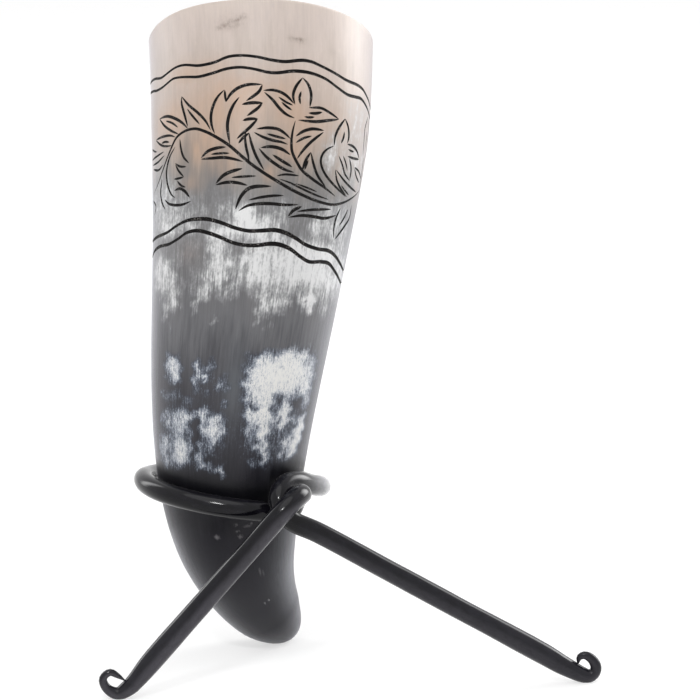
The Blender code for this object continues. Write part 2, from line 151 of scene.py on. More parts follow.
# Foliage: widest width in photograph pixels, then degrees and millimetres along each stroke
FOLIAGE = (
    (2.4, -45.5, 220, -45.6, 217.3, -43.8, 213.1, -41.4, 207.9),
    (2.4, -45.5, 220, -40.6, 216, -33.8, 211.9, -29.5, 208.7, -26.6, 205.4),
    (2, -41.6, 214.6, -38.4, 211.8, -33.3, 207.9),
    (2.8, -67, 215.1, -58.4, 214.4, -52, 212.6, -45.8, 210, -41.4, 207.2),
    (2.4, -67, 215.1, -61.3, 211.2, -54.5, 208, -48.3, 205.8),
    (2, -59.7, 212.8, -53.6, 210.9, -48.8, 208.5),
    (2.4, -73.1, 207.7, -63.5, 207.2, -55.4, 206.3, -51.2, 205.1),
    (2.2, -73.1, 207.5, -64.8, 204, -58.9, 202.7, -54.4, 202.3),
    (2.2, -65.2, 204.9, -60.7, 204.7, -56.6, 203.9),
    (2, -83.6, 201.6, -71.3, 201, -62.6, 201.1),
    (2, -81.9, 199.1, -70, 198.4, -61.9, 199.6),
    (2.2, -79.9, 197.1, -69.4, 195.1, -63.7, 196.2),
    (1.8, -82.9, 206.1, -77.2, 204, -72.3, 202.8),
    (2.6, -80.4, 187.2, -71.3, 189.8, -64.2, 194.1, -55.5, 200.8, -50.1, 204.7, -43.3, 206.4,
     -36.1, 206.5, -29.5, 204.9, -23.3, 202.7, -16.2, 199.8, -9.3, 196.3, -3.4, 193.5, 4.6, 190.6,
     12.7, 188.3, 21.1, 186.4, 30.1, 185.1, 39.8, 184.5, 50.9, 185.1, 60.5, 187.4, 72.9, 191.7,
     84.3, 196.4),
    (2.4, -51.3, 201.4, -56.8, 197.7, -59.8, 192.9, -58.7, 188.2, -54.8, 184, -51.2, 182.5),
    (2.2, -47.3, 203.9, -46.6, 200.4, -44.6, 196.9, -40.5, 194.2),
    (2, -42.5, 193.1, -47.3, 193.6, -51.4, 195.1),
    (2, -51.1, 194.5, -48, 191.8, -44.3, 189.6),
    (2, -44.3, 189.5, -48, 189.3, -52.3, 189.4),
    (2, -49.8, 188.6, -46.1, 186.5, -42.8, 185.7),
    (2.6, -51.9, 185.2, -47.2, 185.5, -43.3, 184.3, -39.4, 181.8),
    (2.4, -61.6, 182.7, -57.3, 180.8, -49.9, 179.7, -43.9, 179.7, -38.7, 180.5),
    (2.4, -65.1, 190.9, -67.1, 185.9, -65.3, 182.1, -61.1, 179),
    (2, -82.5, 185.1, -75.3, 181.7, -78.8, 178.7),
    (2.6, -24.1, 203.9, -25.9, 206.9, -26.4, 210.7, -24.9, 214.5, -22.4, 217.5, -18.8, 219.8),
    (2, -18.6, 219.7, -18.4, 217.9, -17.9, 215.2),
    (2.8, -17.9, 215.2, -15.7, 217.8, -12, 220, -6.6, 221.4, 1.2, 221.7),
    (2.6, 1.4, 221.6, -0.2, 219.1, -3.3, 217.2, -6.9, 215.5),
    (2.8, -9.2, 214.2, -4.6, 214.8, 1.7, 215),
    (2.6, 1.7, 215, -0.9, 212.9, -6.3, 210.1),
    (2.6, -8.6, 208.4, -5.3, 209, -0.6, 209.2),
    (2.6, -0.6, 209.2, -4.3, 206.3, -8.3, 203.8, -11.5, 201.9),
    (2.8, -10.7, 216.9, -13.8, 214, -16.1, 210.3, -16.9, 206.6, -16.2, 202.9, -15.3, 200.1),
    (2.4, -10.5, 200.3, -8.2, 202.2, -4.9, 204.1),
    (2.2, -6.6, 204.3, -7, 202.3, -6.1, 198.7, -5, 196.4, -4.2, 193.9),
    (2.4, -5.1, 204.2, -3.5, 200.6, -1.3, 197.1, 1.3, 194.3, 4.2, 191.7),
    (2.8, -32.2, 195.6, -28.3, 197.7, -23.1, 198.7, -17.5, 199),
    (2.6, -32.2, 195.1, -25, 195.2, -18, 195.3, -12.1, 194.7, -7.6, 194),
    (2, -26.1, 196.6, -21, 196.8, -15.4, 196.8),
    (3, -22.6, 186.3, -18.5, 189, -13.7, 190.5, -7.8, 191.6),
    (2.6, -22.6, 185.8, -16.4, 186.7, -10.4, 186.7, -4.3, 186),
    (2, -13.5, 188.4, -6.8, 188.9, 0.1, 189.4),
    (3, -10.2, 177.7, -7.9, 181.8, -4.3, 184.6, -0.6, 185.7, 9, 186.5),
    (2.6, -8.4, 177.2, -3.7, 179.1, 2.1, 180.1, 9.9, 180.7, 18, 181, 26.1, 181.9),
    (2.2, -3, 181.1, 3.7, 182.4, 10.5, 183.4, 16.6, 184),
    (2.4, 22.9, 225.8, 19.4, 222.3, 17.9, 218.8, 19.1, 215.7),
    (2.6, 22.9, 225.8, 26.1, 223.8, 28, 220.6, 27.7, 215.8),
    (2.2, 22.3, 220.8, 21.5, 218.2, 22.2, 216.1),
    (2.6, 2, 219.5, 7, 219.9, 12.1, 219.2, 15.9, 217.6, 18.4, 216),
    (2.6, 2.5, 218.9, 7.1, 216.3, 11, 213.5, 14.8, 211.7, 19.2, 210.9),
    (2, 10.1, 217.6, 14.1, 216.1, 18, 215.3),
    (2, 11.8, 215.9, 14.5, 214.6, 17.6, 213.5),
    (2.4, 27.2, 215.5, 34.5, 216.4, 40.2, 215.7, 46.9, 214.6),
    (2.6, 46.9, 214.5, 39.5, 212.8, 31.9, 211.2, 21.5, 210.4),
    (2.4, 27.2, 213.6, 31, 214, 35.4, 215.1),
    (2, 24.8, 212, 27.6, 212.1, 30.8, 212.7),
    (2.6, 19.8, 210, 18.7, 206.3, 18.4, 202.7, 19.2, 199.2, 22, 196.3, 26.1, 193.5, 33.2, 191.4,
     42.2, 189.7, 51.6, 188.1),
    (2.6, -1, 205.6, 5, 206.3, 10.6, 206.2, 14.5, 205, 17.7, 203.5),
    (2.4, -2.3, 204.4, 2.4, 203, 8.1, 202.1, 12.9, 201.9, 16.4, 201.4),
    (2.2, 4.7, 204.2, 9.9, 203.6, 15.1, 203.2),
    (2.8, 1.8, 199.2, 7.4, 199.9, 13.1, 199.5, 18.4, 198),
    (2.6, 0.7, 198.9, 4.9, 196.3, 9.9, 194.3, 16, 192.7, 21.3, 192.3),
    (2.6, 8.4, 197.2, 13.6, 195.6, 20, 194),
    (2.6, 20.7, 204.7, 25.1, 207, 30.1, 208.4, 37.3, 208.9),
    (2.4, 37.2, 208.3, 30.9, 204.5, 26.1, 200.9, 22.4, 197.1),
    (2, 21, 202.5, 25.4, 204.6, 30, 205.9),
    (2.4, 51.9, 215.7, 47.8, 211.8, 45.5, 208.3, 45.3, 204.9),
    (2.4, 51.9, 215.7, 55.2, 213.2, 56.5, 209.8, 55.8, 207.7),
    (2.2, 52.3, 211.1, 52, 208.9, 50.5, 206.6),
    (2.4, 45.3, 204.8, 41, 203, 38.1, 200.9, 37.2, 198.2, 39.3, 195.5, 43.8, 193.2, 51.7, 191.1,
     61.3, 189.6),
    (2.4, 55.9, 207.4, 61.7, 207.7, 67, 207, 71.3, 205.2),
    (2.2, 70.9, 204.9, 64.4, 203.9, 57.6, 203.3),
    (1.8, 57.4, 205.8, 60.5, 205.8, 63.4, 206.1),
    (2.2, 49.8, 202.1, 53.6, 199.7, 57.3, 197, 63.3, 195.6),
    (1.8, 53.5, 202.7, 56.9, 200.6, 59.2, 198.5),
    (2.2, 59.5, 203.1, 62.9, 199.9, 63.3, 195.9),
    (2.4, 48.4, 197, 51.1, 193.5, 55.9, 191.3, 62.9, 189.8),
    (2.2, 49, 197, 56.8, 194.8, 65.6, 193.7, 75.5, 193.7),
    (1.8, 55.3, 192.6, 59.5, 191.6, 65.1, 190.8),
    (2.2, 66.9, 201, 70.5, 198.9, 77.8, 197.7),
    (2, 66.8, 201.2, 74.8, 201, 81.5, 199.8),
    (2.4, 30.3, 200.3, 27.6, 197.1, 26.1, 193.4),
    (2.6, 30.3, 200.3, 32.6, 196.7, 36.3, 193, 42.9, 190),
    (2, 29.2, 197.5, 28.3, 195.8, 27.5, 193.9),
    (2.6, 20.6, 177.4, 23.5, 179.7, 28.3, 181.5),
    (2.6, 20.9, 177.1, 29.4, 178.6, 38.9, 179.2, 45.5, 179.6, 55, 182),
    (2.2, 26, 179.6, 34.6, 181.1, 49.6, 183.3),
    (2.2, 58.2, 185, 55.4, 180.8, 54.9, 177.7, 56.3, 174.2),
    (2.4, 71.5, 188.3, 72, 184, 65.8, 179.3, 57.7, 173.9),
    (2, 67.4, 186.1, 64.5, 182.8, 60.1, 179.1),
    (1.8, 11.7, 190.2, 16.2, 191.1, 24.6, 191.5),
    (1.8, 13.3, 189.3, 19.7, 188.6, 27.3, 187.4, 36.8, 186.4, 46.3, 186.2),
    (1.6, 23, 188.7, 30.5, 188.1, 37.1, 187.6),
    (1.6, 78.9, 222.5, 74.9, 217, 75.9, 212.1, 77.4, 207.6),
    (1.6, 78.9, 222.5, 86, 217.6, 87, 212, 82.6, 206.8),
    (1.6, 80, 217.4, 81.6, 211.4),
    (1.8, 79.8, 207.4, 81.6, 201.8, 84.3, 196.4),
)

# How far the sides stand out past a round section, in millimetres at places along the horn
RIGHT_SWELL = ((0, 0), (90, 0), (150, 0.3), (180, 0.45), (212, 1.05), (235, 0.95), (254.6, 0.85))
LEFT_SWELL = ((0, 0), (205, 0), (232, 0.15), (254.6, 0.65))
RIM_RISE = 1.3
RIM_RISE_MIDDLE = -45.0
RIM_RISE_WIDTH = 38.0

# Patches of colour: degrees, millimetres from the tip, half width in degrees, half height, weight
PATCH_POWER = 2.6
PATCH_GAIN = 1.15
PATCH_FADE = 0.9
# How far a place strays round and along: reach, and the wave's turn per millimetre and per degree
PATCH_STRAY = ((1.5, 1.3, 0.17), (0.6, -0.6, 0.45))
# Ring of a knot and its softness, as shares of its half size
KNOT_RING = 0.85
KNOT_SOFTNESS = 0.42
# Radius of the cylinder that the grain is laid out on, in centimetres
GRAIN_RADIUS = 3.8
PALE_PATCHES = (
    (-60, 155, 15, 7.1, 0.95), (-50, 146, 6, 3.4, 0.6), (-19, 162, 8, 7.9, 0.85),
    (-24, 150, 3, 2.3, 0.6), (-60, 171, 13, 2.9, 0.55), (-37, 171, 7, 1.7, 0.55), (-18, 170, 8, 2, 0.7),
    (-4, 175, 5, 4.3, 0.95), (-10, 176, 8, 3.3, 0.45), (6, 174, 12, 3, 0.75), (17, 179, 4, 2.6, 0.5),
    (6, 170, 14, 2, 0.6), (31, 168, 10, 2.3, 0.7), (51, 168, 12, 2.6, 0.7), (40, 175, 5, 3.6, 0.6),
    (20, 160, 24, 7.8, 0.95), (6, 161, 8, 6.5, 0.6), (42, 161, 15, 5.9, 0.8), (19, 149, 9, 3.2, 0.5),
    (11, 149, 4, 4.5, 0.35), (69, 163, 16, 7.9, 0.75), (-61, 177, 18, 5.9, 0.45),
    (-39, 176, 10, 2.1, 0.25), (56, 179, 13, 7.2, 0.5), (-31, 153, 9, 4.6, 0.35),
    (-15, 153, 6, 4.5, 0.4), (-48, 123.9, 7.2, 3.9, 1), (-43, 121.9, 3.7, 2.6, 0.5),
    (-50, 127.1, 4.2, 1.3, 0.5), (-27, 123.8, 3, 3.8, 0.5), (-26, 125.7, 2.2, 1.3, 0.35),
    (-20, 124.5, 4.2, 1.6, 0.4), (-28, 119.6, 2.3, 2.9, 0.45), (-17, 127.2, 2.7, 2.2, 0.28),
    (-19, 117.8, 2.1, 1, 0.35), (-11, 119.8, 1.7, 1.6, 0.5), (-7, 121.3, 4, 2.9, 0.28),
    (-49, 114.9, 5.4, 2, 0.38), (-58, 114.4, 4.1, 1.7, 0.3), (-34, 114.1, 3.3, 1.3, 0.42),
    (-40, 116.2, 2.7, 1.3, 0.25), (-42, 107.3, 6.8, 3.6, 0.7), (-52, 106.6, 2.4, 3, 0.6),
    (-58, 107, 3.5, 2.3, 0.45), (-34, 109.2, 4.3, 1.6, 0.6), (-34, 106.3, 2.6, 2.6, 0.45),
    (-27, 109.9, 3.2, 1.6, 0.5), (-41, 99.9, 6, 3.9, 0.65), (-54, 99.4, 5.2, 2.4, 0.5),
    (-40, 95.4, 7, 2.7, 0.9), (-35, 98.7, 3.6, 2, 0.5), (-60, 95.8, 6.7, 4.2, 0.55),
    (-52, 92.6, 6.7, 2.7, 0.35), (-30, 99.4, 1.5, 3.9, 0.4), (-20, 110.7, 3.7, 1.6, 0.75),
    (-13, 106.8, 4.3, 2.9, 1), (-21, 107.7, 2.3, 1.9, 0.4), (-6, 106.8, 2.5, 2.6, 0.5),
    (-10, 109.2, 4.2, 1.3, 0.5), (-13, 103.6, 4.4, 2.3, 0.4), (-19, 104.6, 3, 1.9, 0.35),
    (-7, 103.5, 2.1, 2.6, 0.35), (-22, 100.2, 3.1, 1, 0.35), (-13, 100.3, 1.5, 2.6, 0.45),
    (-22, 95, 3.2, 2.3, 0.6), (-23, 97.6, 2.4, 1.6, 0.4), (-19, 93.5, 4, 1, 0.45),
    (-12, 93.8, 2.3, 1.3, 0.45), (-6, 92.3, 2.3, 2, 0.75), (-10, 92.6, 4.6, 1, 0.35),
    (25, 123.6, 16.3, 6.3, 1), (25, 123.6, 9.5, 4.6, 0.9), (27, 129.3, 16.4, 3, 0.75),
    (13, 121.5, 6.1, 5.8, 0.55), (50, 125.8, 13, 6.7, 0.75), (35, 132.6, 6.3, 2, 0.45),
    (47, 133.1, 5.7, 1.7, 0.35), (18, 132.5, 2.7, 1.6, 0.22), (35, 126.5, 10.5, 6, 0.6),
    (23, 116.8, 3.7, 3, 0.75), (15, 117, 5.6, 2, 0.5), (7, 121.6, 1.7, 1.9, 0.4),
    (59, 116.8, 4.1, 3, 0.45), (15, 110.7, 5, 2.6, 0.91), (23, 109.1, 4.2, 5.4, 1.12),
    (10, 112.9, 2.1, 1.3, 0.7), (21, 112.8, 5.9, 1.7, 0.7), (13, 106, 2.9, 2.7, 0.49),
    (23, 104.3, 3.1, 2.1, 0.77), (30, 109.4, 3.2, 2.4, 0.49), (39, 112.5, 4.5, 2.8, 1.19),
    (38, 108.3, 2.7, 1.8, 0.84), (37, 116, 2.5, 1.4, 0.56), (47, 109.8, 5.1, 1.1, 0.49),
    (58, 108.3, 4.1, 3.1, 1.12), (55, 103.2, 5.2, 3.5, 1.33), (52, 98.5, 4.8, 2.7, 1.05),
    (43, 100.2, 4, 3.3, 0.59), (40, 96.7, 2.9, 1.5, 0.49), (45, 102.7, 3.1, 1.9, 0.49),
    (20, 100.6, 3, 1.4, 0.56), (26, 98.1, 2.4, 2.5, 0.7), (29, 98, 2.5, 1.4, 0.49),
    (26, 94.9, 2.5, 1.4, 0.56), (18, 95.1, 3.1, 1.4, 0.35), (25, 101.2, 1.6, 1.4, 0.56),
    (-41, 102.5, 25.1, 10.5, 0.2), (-15, 105.8, 12.6, 8.4, 0.18), (34, 107, 28, 12, 0.34),
    (-21, 121.6, 10, 5.7, 0.15), (-58, 142.4, 3, 3.4, 0.5), (-51, 146.6, 4, 3.4, 0.6),
    (-51, 137.1, 2, 2.3, 0.3), (-30, 147, 2.1, 2.9, 0.5), (-33, 144, 1.9, 2, 0.4),
    (-18, 141.3, 1.6, 1.6, 0.45), (-27, 149.4, 2.1, 2, 0.45), (9, 143.1, 1.6, 3.2, 0.42),
    (12, 147.2, 2.5, 2.6, 0.55), (20, 146.7, 3.3, 2.6, 0.6), (25, 149.7, 3.4, 2.6, 0.6),
    (18, 142.3, 2, 1.9, 0.35), (16, 139.6, 1.6, 1.6, 0.3), (-14, 148.9, 2.5, 1.9, 0.4),
    (-6, 151.3, 3.1, 2.6, 0.4), (42, 150.3, 4.5, 2.7, 2.6), (47, 151.7, 2.7, 2.6, 0.4),
    (61, 151, 8, 5, 0.4), (43, 201.5, 5, 4.5, 0.5), (50, 126, 16, 9, 0.45), (55, 121, 3, 4, 0.4),
    (105, 158, 20, 9, 0.9), (142, 163, 22, 7, 0.8), (176, 157, 20, 9, 0.95), (160, 172, 24, 6, 0.6),
    (214, 161, 18, 8, 0.85), (205, 176, 14, 5, 0.6), (245, 166, 16, 7, 0.7), (120, 123, 22, 8, 0.8),
    (150, 108, 14, 6.9, 0.65), (168, 126, 11, 5.8, 0.6), (196, 116, 24, 9.2, 0.8),
    (222, 101, 14, 6.9, 0.65), (240, 124, 13, 6.9, 0.7), (104, 100, 11, 5.8, 0.6),
    # The patches by the right and left edges, on this line and the next, are painted sheen
    (62, 203, 20, 9.3, 0.55), (65, 219, 13, 7.6, 0.4), (-68, 191, 10, 9.2, 0.4),
    (-58, 186, 10, 4.5, 0.35),
)
DARK_PATCHES = (
    (-38, 162, 13, 5.1, 0.8), (-9, 164, 4, 2.6, 0.45), (-57, 163, 7, 2.6, 0.35),
    (-29, 171, 3, 1.7, 0.5), (6, 177, 6, 2, 0.3), (28, 174, 7, 3.6, 0.35), (42, 150.2, 1.7, 1, 2.4),
    (0, 158.8, 1.8, 2.9, 0.35), (12, 161.5, 1.5, 3.2, 0.3), (22, 167.6, 2.5, 1.6, 0.3),
    (-11, 154.9, 1.8, 3.2, 0.3), (33, 154.6, 2.9, 1.3, 0.35), (-39, 156.8, 3.9, 4.1, 0.3),
    (34, 118, 3.2, 2, 0.7), (49, 116.6, 4.2, 3.2, 0.4), (32, 127.9, 2, 0.5, 1.6),
    (18, 114.1, 6.5, 0.5, 0.5), (-26, 105.2, 1.7, 4.5, 0.35), (-46, 158.5, 10, 4, 0.4),
    (128, 176, 20, 5, 0.6), (192, 166, 9, 5, 0.6), (236, 186, 22, 7, 0.5),
)
WARM_PATCHES = (
    (-34, 199, 12, 5.8, 1), (-17, 193, 7, 4.9, 0.8), (18, 199, 8, 4.1, 0.9), (7, 191, 4, 3, 0.8),
    (-57, 213, 18, 7.5, 0.8), (-18, 212, 18, 10.5, 0.9), (22, 214, 17, 9.5, 0.8),
    (-40, 187, 7, 2.9, 0.5), (49, 213, 7, 4.1, 0.3), (-38, 229, 18, 4, 0.7), (2, 221, 24, 5, 0.5),
    (28, 219, 9, 4.5, -0.6), (130, 205, 26, 10, 0.8), (185, 210, 24, 10, 0.7), (228, 200, 20, 9, 0.9),
)
KNOTS = (
    (-21, 121.9, 2.3, 1, 0.75), (-6, 114.6, 2.5, 1.3, 0.42), (-13, 98.7, 2.2, 1.1, 0.45),
    (-17, 127.2, 2.4, 1.9, 0.3),
)
# Scuffs, with painted sheen on the left and right sides of the dark tip
SCUFFS = (
    (0, 121, 6.5, 12, 1.3), (60, 40, 22, 22, 1), (-50, 34, 14, 12, 0.8), (150, 45, 30, 20, 0.6),
    (230, 62, 20, 14, 0.5),
)
SMUDGES = (
    (-21, 244.1, 1.7, 0.8, 0.8), (-18, 244.8, 1.6, 0.8, 0.9), (-15, 245.5, 1.6, 0.8, 0.9),
    (-11, 246.5, 1.6, 0.8, 0.9), (-8, 247.6, 1.6, 0.8, 0.8), (-16, 243.6, 2.1, 0.7, 0.5),
    (-12, 244.4, 2.1, 0.7, 0.5), (20, 239.7, 2.4, 0.7, 1), (22, 239.4, 1.7, 0.9, 0.9),
    (16, 240.1, 1.6, 0.7, 0.5), (41, 237.3, 2, 0.7, 0.5), (-14, 246, 9, 3, 0.3),
    (-38, 163, 8, 3.5, 0.5), (150, 246, 12, 3, 0.8), (215, 240, 8, 3, 0.6),
)
# Chips on the tip: degrees, millimetres from the tip, radius, share across and along, strength
CHIPS = (
    (-12.7, 69.5, 1.3, (1, 0.9), 0.26), (7.1, 69.2, 1.5, (0.7, 0.8), 0.24),
    (5, 71.4, 0.9, (1, 0.8), 0.2), (14, 72.9, 1.5, (1.2, 0.6), 0.2), (17.2, 73.6, 1, (0.8, 1), 0.2),
    (4.6, 73.8, 0.8, (1, 1), 0.18), (13.3, 36.7, 1.3, (0.5, 0.9), 0.3), (19.4, 37.2, 0.6, (1, 1), 0.45),
    (19.8, 52.8, 2, (0.35, 1.4), 0.13), (22.8, 51.6, 1.6, (0.35, 1.4), 0.1),
    (160, 60, 1.2, (1, 1), 0.5), (205, 48, 1, (1.3, 0.8), 0.4),
)
CHIP_GIRTH = 1.75
CHIP_RAGGEDNESS = 0.09

# Stand, a few millimetres at most from the part's source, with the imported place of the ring's axis
BAR_RADIUS = 3.93
BAR_PITCH = 8.45
RING_RADIUS = 33.72
RING_HEIGHT = 68.878
RING_AXIS = np.array((-45.631, -15.716, 0.0))
KNOT_ANGLE = 47.6
LEFT_FOOT = (-44.0, -55.7)
RIGHT_FOOT = (135.2, -32.9)
RING_STEP = 15
RING_LAY = (
    (60, -0.37), (90, -0.04), (135, 0.31), (180, 0.31), (207, 0.04), (270, -0.25), (324, -0.46),
    (345, -0.3), (360, -0.03), (390, 0.55),
)
HAIRPIN_BENDS = (
    (-0.26, -2.64, 0.29), (0.24, -2.09, 0.68), (0.47, -1.38, 0.69), (0.24, -0.66, 0.28),
    (-0.06, -0.3, -0.34),
)
HOOK_BENDS = (
    (0.28, 0.09, 0.9), (-0.27, -0.66, 0.9), (-0.52, -1.25, 0.52), (-0.38, -1.47, 0),
    (0.09, -1.51, -0.52), (1.2, -1.51, -1.04),
)
# Each foot from its leg to its toe: outward from the foot, height and radius in millimetres
LEFT_SCROLL = (
    (-14.65, 14.3, 4.05), (-8.54, 6.88, 3.42), (-6.1, 4.45, 3.22), (-1.66, 2.1, 2.5),
    (2.32, 4.12, 1.86), (3.91, 7.58, 1.55), (3.1, 9.39, 1.42), (1.05, 10.45, 1.36), (-1.28, 9.31, 1.1),
    (-4.16, 7.28, 0.3),
)
RIGHT_SCROLL = (
    (-16.08, 11.02, 4.08), (-8.04, 6.13, 3.6), (0.3, 2.4, 2.76), (2.69, 3.5, 2.32), (3.4, 5.8, 2.15),
    (1.96, 8.9, 1.9), (-1.07, 10.6, 1.52), (-2.97, 9.76, 1.2), (-3.45, 7.5, 0.36),
)
BAR_SIDES = 28
BAR_STEP = 0.9
BAR_ROUTE_STEPS = 12
BAR_GRAIN = 0.4
TOE_ROUNDING = 0.7

# Camera of the photograph
CAMERA_PLACE = (-0.000559, -2.169832, 0.619324)
CAMERA_ELEVATION = 13.0
SENSOR_WIDTH = 36.0
FOCAL_PIXELS = 5800
PHOTO_WIDTH = 700
CAMERA_LENS = SENSOR_WIDTH * FOCAL_PIXELS / PHOTO_WIDTH
CAMERA_CLIP_END = 50.0

# Hammer marks on the bar: pitch and phase along it, and the side they face
HAMMER_DEPTH = 0.022
HAMMER_LIMIT = 1.5
HAMMER_LEVEL = 0.5
HAMMER_NARROWNESS = 6
HAMMER_SWAY = 0.6
HAMMER_SWAY_PITCH = 37.0
HAMMER_MARKS = ((5.1, 0, 0.4), (7.3, 1.1, 1.7), (6.1, 2.3, 2.9), (8.9, 0.7, 4.1), (5.7, 3.9, 5.3))

# Painted sheen on the outer bends of the ring: angle round it, width in degrees, weight
BURNISHED = ((6, 22, 1), (192, 17, 0.55))

# Painted reflection of the pale floor on the legs: the side that it lies on, how far out from the ring
# it starts and is full, and its share on the right leg
DUST_SIDE = (0.25, -0.45, -0.85)
DUST_START = 8.0
DUST_FULL = 18.0
DUST_RIGHT = 0.6

# Painted shade and reflection of the iron ring: a dark band on the horn just above it
RUB_RAISE = 3.0
RUB_HEIGHT = 10.0
RUB_FADE = 7.0

# Colours as places and screen values: the horn's, at shares of its length from the tip
HORN_COLOURS = (
    (0, 22, 20, 30), (0.28, 19, 17, 26), (0.352, 34, 33, 39), (0.406, 53, 52, 58), (0.457, 68, 67, 72),
    (0.507, 88, 88, 92), (0.555, 111, 111, 114), (0.6, 114, 113, 115), (0.66, 124, 123, 124),
    (0.715, 125, 124, 125), (0.75, 140, 135, 131), (0.79, 176, 162, 152), (0.83, 188, 172, 161),
    (0.87, 195, 180, 170), (0.92, 204, 190, 181), (0.96, 211, 197, 189), (1, 215, 201, 192),
)
# Frosty patches above the ring, from thin to thick
FROST_COLOURS = ((0, 108, 116, 130), (0.4, 158, 166, 180), (0.75, 216, 219, 224), (1, 251, 250, 247))
# Ink, wax and iron, from low to high in each one's noise
INK_COLOURS = ((0, 6, 5, 5), (0.64, 16, 14, 14), (0.8, 70, 64, 60))
WAX_COLOURS = ((0.25, 128, 92, 58), (0.5, 168, 130, 88), (0.8, 196, 164, 122))
IRON_COLOURS = ((0.25, 10, 9, 13), (0.55, 17, 16, 22), (0.85, 30, 29, 36))

# Light
FLOOR_ALBEDO = 0.46
FLOOR_GLOW = 0.6
FLOOR_REACH = 8.0
WORLD_LIGHT = 0.5
LAMPS = (
    ("right_softbox", 12.4, (0.8, 1.2), (0.95, 0.62, 0.6), (0.0, 0.0, 0.15)),
    ("left_softbox", 3.4, (0.4, 1.2), (-0.95, 0.62, 0.6), (0.0, 0.0, 0.15)),
    ("key_softbox", 12.2, (0.46, 0.15), (-0.33, -1.55, 1.5), (-0.04, -0.03, 0.1)),
)
PANEL_PEAK = (math.pi / 2) ** 2
SUN_STRENGTH = 0.7
SUN_SPREAD = 50.0
SUN_DIRECTION = (0.15, 0.35, -1.0)


def curve_through(stations, at):
    """Smooth values at places, from (place, value) stations in rising order."""
    places, values = np.array(stations, float).T
    last = len(places) - 1
    low = np.maximum(np.arange(last + 1) - 1, 0)
    high = np.minimum(np.arange(last + 1) + 1, last)
    slopes = (values[high] - values[low]) / (places[high] - places[low])
    i = np.clip(np.searchsorted(places, at) - 1, 0, last - 1)
    span = places[i + 1] - places[i]
    t = (at - places[i]) / span
    rise = values[i + 1] - values[i]
    start = slopes[i] * span
    end = slopes[i + 1] * span
    return values[i] + t * (start + t * (3 * rise - 2 * start - end + t * (start + end - 2 * rise)))


def unit(vectors):
    return vectors / np.linalg.norm(vectors, axis=-1, keepdims=True)


def eased(share):
    """Share clamped to 0 to 1, with soft ends."""
    share = np.clip(share, 0.0, 1.0)
    return share**2 * (3 - 2 * share)


def rounded(share):
    """Radius of a rounded end at a share of its length, against the full radius."""
    return np.sqrt(1 - (1 - np.clip(share, 0.0, 1.0)) ** 2)


def waves(table, turn):
    """Sum of waves round a ring, from rows of height, count and phase."""
    return sum(height * np.sin(count * turn + phase) for height, count, phase in table)


def levels_between(low, high, step):
    return np.linspace(low, high, int((high - low) / step) + 1)


def quarter_turns(rows):
    """Even turns in radians up to a quarter turn, for rounded edges."""
    return np.radians(90) * np.arange(1, rows + 1) / rows


def horn_radius(along):
    return curve_through(HORN_GIRTHS, np.clip(along / HORN_LENGTH, 0.0, 1.0)) * MOUTH_DIAMETER / 2


def outer_radius(along):
    return horn_radius(along) * rounded(along / TIP_ROUNDING)


def wall_radius(along):
    """Inside radius of the hollow."""
    depth = np.clip((HORN_LENGTH - along) / CAVITY_DEPTH, 0.0, 1.0)
    radius = horn_radius(along) - LIP_WALL - (CAVITY_BOTTOM_WALL - LIP_WALL) * depth
    return radius * rounded((along - CAVITY_BOTTOM) / CAVITY_ROUNDING)


def horn_direction(share):
    to_tip = 1.0 - np.clip(share, 0.0, 1.0)
    back = MOUTH_BACK_LEAN + (TIP_BACK_LEAN - MOUTH_BACK_LEAN) * to_tip**BACK_LEAN_POWER
    side = MOUTH_SIDE_LEAN + (TIP_SIDE_LEAN - MOUTH_SIDE_LEAN) * to_tip**SIDE_LEAN_POWER
    side = side + BELLY_SIDE_LEAN * np.sin(np.pi * (1.0 - to_tip))
    lean = np.tan(np.radians(side)), np.tan(np.radians(back)), np.ones_like(to_tip)
    return unit(np.stack(lean, -1))


BOTTOM_LEVELS = CAVITY_BOTTOM + CAVITY_ROUNDING * (1 - np.cos(quarter_turns(BOTTOM_ROWS)[:-1]))
LINE_STEP = HORN_LENGTH / CENTRE_LINE_STEPS
LINE_SHARES = (np.arange(CENTRE_LINE_STEPS) + 0.5) / CENTRE_LINE_STEPS
LINE_OFFSETS = np.cumsum(horn_direction(LINE_SHARES) * LINE_STEP, 0)
CENTRE_LINE = np.vstack((np.zeros(3), LINE_OFFSETS)) + HORN_START
LINE_PLACES = np.arange(CENTRE_LINE_STEPS + 1) * LINE_STEP


def horn_place(degrees, along, radius):
    """Places in millimetres at an angle round the horn, a distance along it and a radius."""
    centre = np.stack([np.interp(along, LINE_PLACES, line) for line in CENTRE_LINE.T], -1)
    direction = horn_direction(along / HORN_LENGTH)
    past = np.maximum(along - HORN_LENGTH, 0.0)[..., None]
    towards = np.array((0.0, -1.0, 0.0))
    front = unit(towards - direction * (direction @ towards)[..., None])
    right = np.cross(direction, front)
    turn = np.radians(degrees)[..., None]
    side = front * np.cos(turn) + right * np.sin(turn)
    return centre + direction * past + side * np.asarray(radius)[..., None]


def side_swell(degrees, along):
    """How far the natural horn's sides stand out past a round section."""
    across = np.sin(np.radians(degrees))
    level = np.clip(along, 0.0, HORN_LENGTH)
    right, left = curve_through(RIGHT_SWELL, level), curve_through(LEFT_SWELL, level)
    return np.where(across > 0, right, left) * across**2


def rim_rise(degrees, along):
    """How far the uneven rim stands above a level cut."""
    rise = RIM_RISE * np.exp(-(((degrees - RIM_RISE_MIDDLE) / RIM_RISE_WIDTH) ** 2))
    return rise * eased((along - BAND_HIGH) / (HORN_LENGTH - BAND_HIGH))


def outer_place(degrees, along):
    raised = along + rim_rise(degrees, along)
    return horn_place(degrees, raised, outer_radius(along) + side_swell(degrees, along))


def outer_normal(degrees, along):
    around, upwards = (
        outer_place(degrees + turn, along + rise) - outer_place(degrees - turn, along - rise)
        for turn, rise in ((NORMAL_STEP, 0.0), (0.0, NORMAL_STEP))
    )
    return unit(np.cross(around, upwards))


